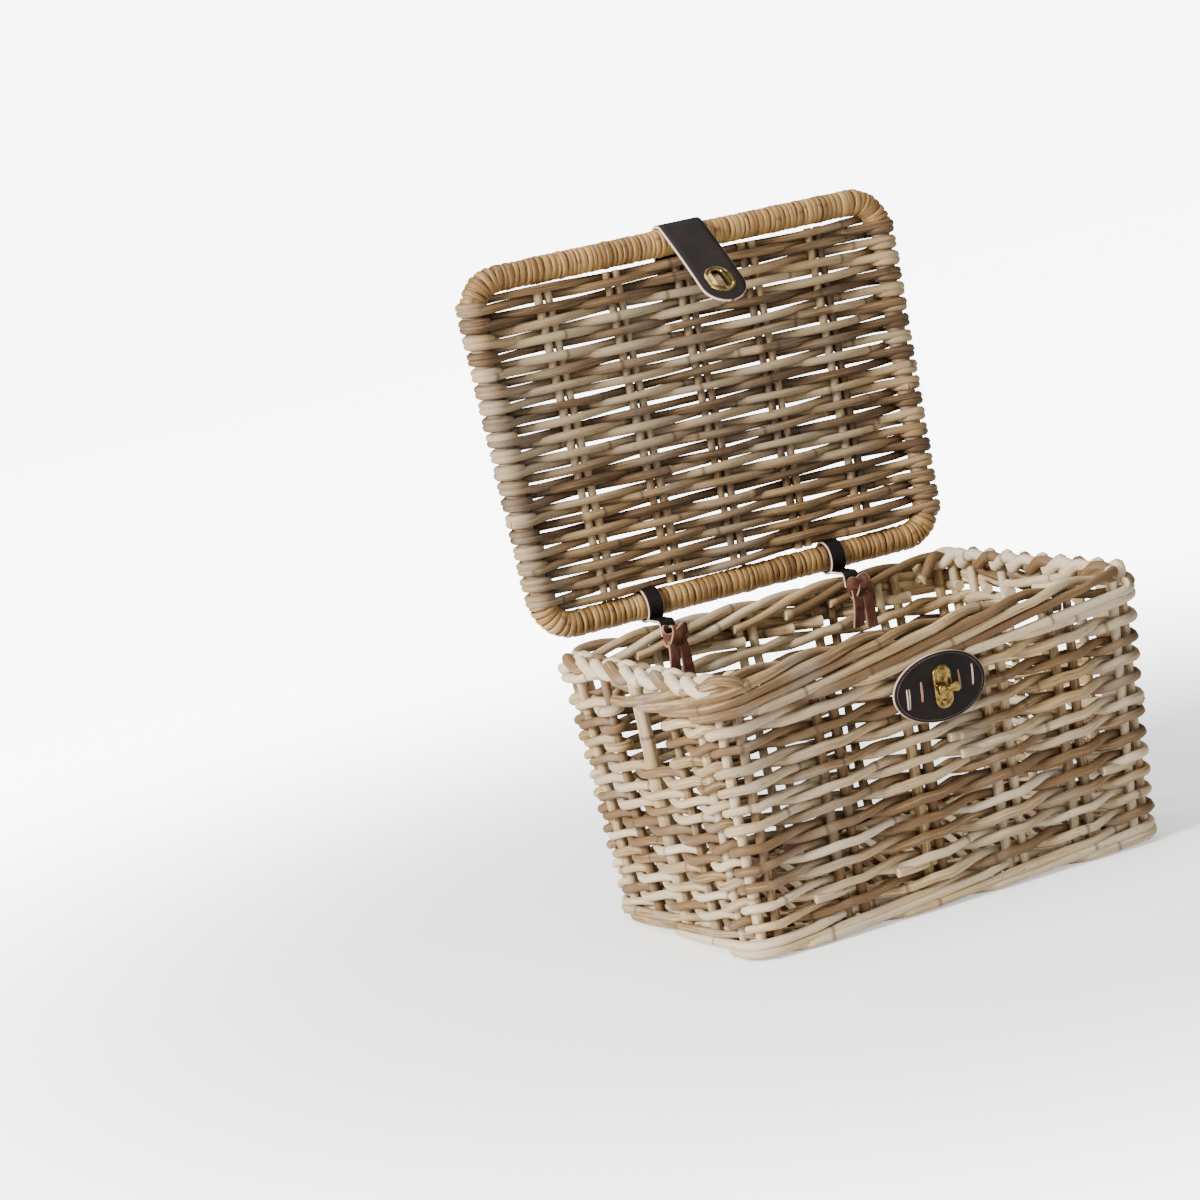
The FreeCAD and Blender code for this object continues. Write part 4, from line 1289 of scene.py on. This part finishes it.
EGG_POINTS = 96
EDGE_ROWS = slice(3, 5)            # of the profile, where the leather is cut
egg_outline = egg(EGG_POINTS)
PATCH_PROFILE = ((0.96, PATCH_BASE), (0.30, PATCH_BASE), (0.012, PATCH_BASE), (0.0, PATCH_BASE + 0.0006),
                 (0.0, PATCH_TOP - 0.0006), (0.018, PATCH_TOP - 0.0001), (0.07, PATCH_TOP), (0.16, PATCH_TOP),
                 (0.35, PATCH_TOP + 0.0002), (0.6, PATCH_TOP + 0.0003), (0.85, PATCH_TOP + 0.0003),
                 (0.97, PATCH_TOP + 0.0003))
patch_rings = levels(egg_outline, egg_outline * 0, PATCH_PROFILE, lock_place)
patch = ring_piece("lock_leather_patch", patch_rings, dark_leather)
edge_values = np.zeros((len(patch_rings), EGG_POINTS), np.float32)
edge_values[EDGE_ROWS] = 1.0
patch.data.attributes.new("edge", "FLOAT", "POINT").data.foreach_set("value", edge_values.ravel())
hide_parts("lock_patch")
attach(patch, "basket")

STITCHES, STITCH_LINE, THREAD_RADIUS = 76, 0.925, 0.00040
STITCH_SHAPE = ((0.12, -0.0002), (0.5, 0.00035), (0.88, -0.0002))    # share of its length, height
thread = leather_material("dark_thread", (0.050, 0.034, 0.028, 1), (0.110, 0.080, 0.066, 1),
                          (0.05, 0.04, 0.04, 1), 0.7, 2400.0, 0.0001)
stitches = cane_bundle()
stitch_line = egg(STITCHES) * STITCH_LINE
for here, after in zip(stitch_line, np.roll(stitch_line, -1, axis=0)):
    points = [(*(here + (after - here) * share), PATCH_TOP + height) for share, height in STITCH_SHAPE]
    add_cane(stitches, lock_place(points), THREAD_RADIUS)
stitch_piece = cane_piece("patch_stitches", stitches, thread, sides=6)
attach(stitch_piece, "basket")

LACE_LENGTH = 0.0165
LACES = (  # across, up, lean, half width, how worn
    (-0.0321, -0.003, 0.0006, 0.00055, 0.9), (-0.0302, -0.003, 0.0014, 0.00050, 0.7),
    (-0.0190, 0.000, 0.0008, 0.00095, 0.2), (0.0150, 0.002, -0.0004, 0.00070, 0.1),
    (0.0270, 0.003, 0.0010, 0.00065, 0.8))
lace_parts = []
for x, y, lean, lace_half, worn in LACES:
    share = np.linspace(0, 1, 14)
    height = PATCH_TOP - 0.0005 + LACE_HUMP * np.sin(math.pi * share) ** 0.4
    points = np.column_stack([x + lean * (share - 0.5), y + LACE_LENGTH * (share - 0.5), height])
    width = lace_half * (0.75 + 0.25 * np.sin(math.pi * share))
    loops, edge = strip_loops(lock_place(points), (1, 0, 0), width, LACE_LEATHER)
    lace_parts.append((loops, [worn] * len(edge)))
laces = loft("patch_lacing", lace_parts, lace_leather)
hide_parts("patch_laces")
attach(laces, "basket")


# ---- turn lock ----
# A long oval plate of antique brass with a raised rim, held by two domed screws, and a button
# with two rounded wings that turns on a pin.

PLATE_LENGTH, PLATE_WIDTH = 0.035, 0.016
plate_outline = stadium(PLATE_LENGTH, PLATE_WIDTH, 56)
PLATE_PROFILE = (  # share of the way in to the middle, height above the wall
    (1.0, 0.0044), (0.0, 0.0044), (0.0, 0.0052), (0.04, 0.0058), (0.13, 0.0061),
    (0.22, 0.0058), (0.30, 0.0054), (0.60, 0.0054), (0.70, 0.0059), (1.0, 0.0060))
spine = plate_outline * 0
spine[:, 1] = np.clip(plate_outline[:, 1], -0.0050, 0.0050) * 0.5
plate = ring_piece("lock_oval_plate", levels(plate_outline, spine, PLATE_PROFILE, lock_place), aged_brass)
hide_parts("lock_plate")
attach(plate, "basket")

SCREW_Y, SCREW_RADIUS = 0.0125, 0.0025
SCREW_LOW, SCREW_HIGH = 0.0050, 0.0070
turns = np.linspace(0, 2 * math.pi, 24, endpoint=False)
circle = np.stack([np.cos(turns), np.sin(turns)], axis=1)


def round_rings(profile, y=0.0):
    """Rings round a middle on the lock's centre line, one for each radius and height."""
    return [lock_place(np.column_stack([circle * radius + (0, y), np.full(len(circle), height)]))
            for radius, height in profile]


screw_profile = [(SCREW_RADIUS, SCREW_LOW)]
for share in np.linspace(0, 0.96, 7):
    rise = 0.35 + 0.65 * math.sqrt(1 - (1 - share) ** 2)
    screw_profile.append((SCREW_RADIUS * (1 - share ** 1.6), SCREW_LOW + (SCREW_HIGH - SCREW_LOW) * rise))
for name, y in (("upper", SCREW_Y), ("lower", -SCREW_Y)):
    screw = ring_piece(f"{name}_lock_screw", round_rings(screw_profile, y), aged_brass)
    if name == "upper":
        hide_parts("lock_screws")
    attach(screw, "basket")

KNOB_BASE, KNOB_TOP, KNOB_LENGTH, KNOB_WIDTH = 0.0117, 0.0162, 0.019, 0.0075
wing_turn = np.linspace(0, 2 * math.pi, 64, endpoint=False)
wing_x = KNOB_LENGTH / 2 * np.cos(wing_turn)
lobes = 0.55 + 1.05 * np.abs(np.cos(wing_turn)) ** 1.6
flank = np.sign(np.sin(wing_turn)) * np.abs(np.sin(wing_turn)) ** 0.62
wing_y = KNOB_WIDTH / 2 * flank * lobes * 1.15
wing_outline = np.stack([wing_x, wing_y], axis=1)
WING_PROFILE = (  # share of the way in to the middle, share of the height
    (1.0, 0.0), (0.16, 0.0), (0.04, 0.12), (0.0, 0.32), (0.0, 0.52),
    (0.06, 0.74), (0.18, 0.90), (0.38, 0.97), (0.7, 0.94), (1.0, 0.90))
wing_profile = [(share, KNOB_BASE + (KNOB_TOP - KNOB_BASE) * height) for share, height in WING_PROFILE]
wing_rings = levels(wing_outline, wing_outline * (0.55, 0.0), wing_profile, lock_place)
button = ring_piece("turn_button_wings", wing_rings, aged_brass)
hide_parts("turn_button")
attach(button, "turn_button")
NECK_PROFILE = ((0.0034, 0.0062), (0.0036, 0.0070), (0.0031, 0.0082),
                (0.0027, 0.0098), (0.0029, 0.0112), (0.0034, 0.0120))
neck = ring_piece("turn_button_neck", round_rings(NECK_PROFILE), aged_brass)
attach(neck, "turn_button")


# ---- leather ties ----
# Two dark leather bands loop round the rear bar of the lid, lie over the rim and go down inside
# it, where each ends in a knot of reddish brown suede with two flat tails.

BAND_HALF, BAND_LEATHER = 0.007, 0.0024
RIM_BEND = 0.004                   # where a band turns down into the basket
BAND_TOP = RIM + 0.0020
RING_REACH = 0.0136
RING_START = math.radians(-105)
KNOT_LEATHER, FOLD_HALF, CROSS_HALF = 0.0022, 0.0052, 0.0046
TAIL_LEATHER, TAIL_HALF = 0.0024, 0.0049
TAILS = ((-0.0058, 0.032, -0.0006), (0.0054, 0.035, 0.0008))         # across, length, swing


def band_line(x, inner_y, low_z):
    """Up inside the wall, over the rim, and round the lid's rear bar."""
    line = [(x, inner_y, z) for z in np.linspace(low_z, BAND_TOP - RIM_BEND, 6)]
    line += [(x, inner_y + RIM_BEND * (1 - math.cos(t)), BAND_TOP - RIM_BEND + RIM_BEND * math.sin(t))
             for t in np.linspace(0.3, math.pi / 2, 5)]
    line += [(x, y, BAND_TOP - 0.0002) for y in np.linspace(inner_y + 0.007, HINGE.y - 0.006, 6)]
    line += [(x + 0.0001 * t, HINGE.y + RING_REACH * math.cos(RING_START + t),
              HINGE.z + RING_REACH * math.sin(RING_START + t))
             for t in np.linspace(0.12, 2 * math.pi - 0.05, 40)]
    return line


def knot_parts(x, y, z, hand):
    """A folded strip, a second one across it, and two flat tails."""
    fold = [(x + hand * 0.0105 * math.sin(t) + 0.001, y + 0.0050 * math.cos(t) - 0.001,
             z + 0.0015 + 0.0035 * math.sin(t * 2)) for t in np.linspace(0, 2 * math.pi * 0.93, 30)]
    cross = [(x + hand * 0.001 + 0.0035 * math.sin(t), y + 0.0072 * math.cos(t),
              z - 0.0005 + 0.0078 * math.sin(t)) for t in np.linspace(0, 2 * math.pi * 0.95, 30)]
    parts = [strip_loops(fold, (0, 0.10, 0.995), np.full(30, FOLD_HALF), KNOT_LEATHER),
             strip_loops(cross, (0.97, 0, hand * 0.22), np.full(30, CROSS_HALF), KNOT_LEATHER)]
    share = np.linspace(0, 1, 14)
    for tail_x, drop, swing in TAILS:
        tail = np.column_stack([x + tail_x * (0.72 + 0.3 * share) + swing * share ** 2,
                                y - 0.0035 - 0.0018 * np.sin(share * 4), z - 0.001 - drop * share])
        parts.append(strip_loops(tail, (1, 0, 0.06), TAIL_HALF * (0.88 + 0.2 * share), TAIL_LEATHER))
    return parts


for side, hand in (("left", -1), ("right", 1)):
    low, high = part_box(f"{side}_hinge_band")
    knot_low, knot_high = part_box(f"{side}_hinge_knot")
    x = (low.x + high.x) / 2
    line = band_line(x, low.y + BAND_LEATHER / 2, low.z)
    band_loops = strip_loops(line, (1, 0, 0), np.full(len(line), BAND_HALF), BAND_LEATHER)
    band = loft(f"{side}_tie_band", [band_loops], dark_leather)
    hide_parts(f"{side}_hinge_band")
    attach(band, "basket")
    knot = loft(f"{side}_suede_knot", knot_parts(x, (knot_low.y + knot_high.y) / 2, low.z, hand), tie_leather)
    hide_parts(f"{side}_hinge_knot")
    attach(knot, "basket")
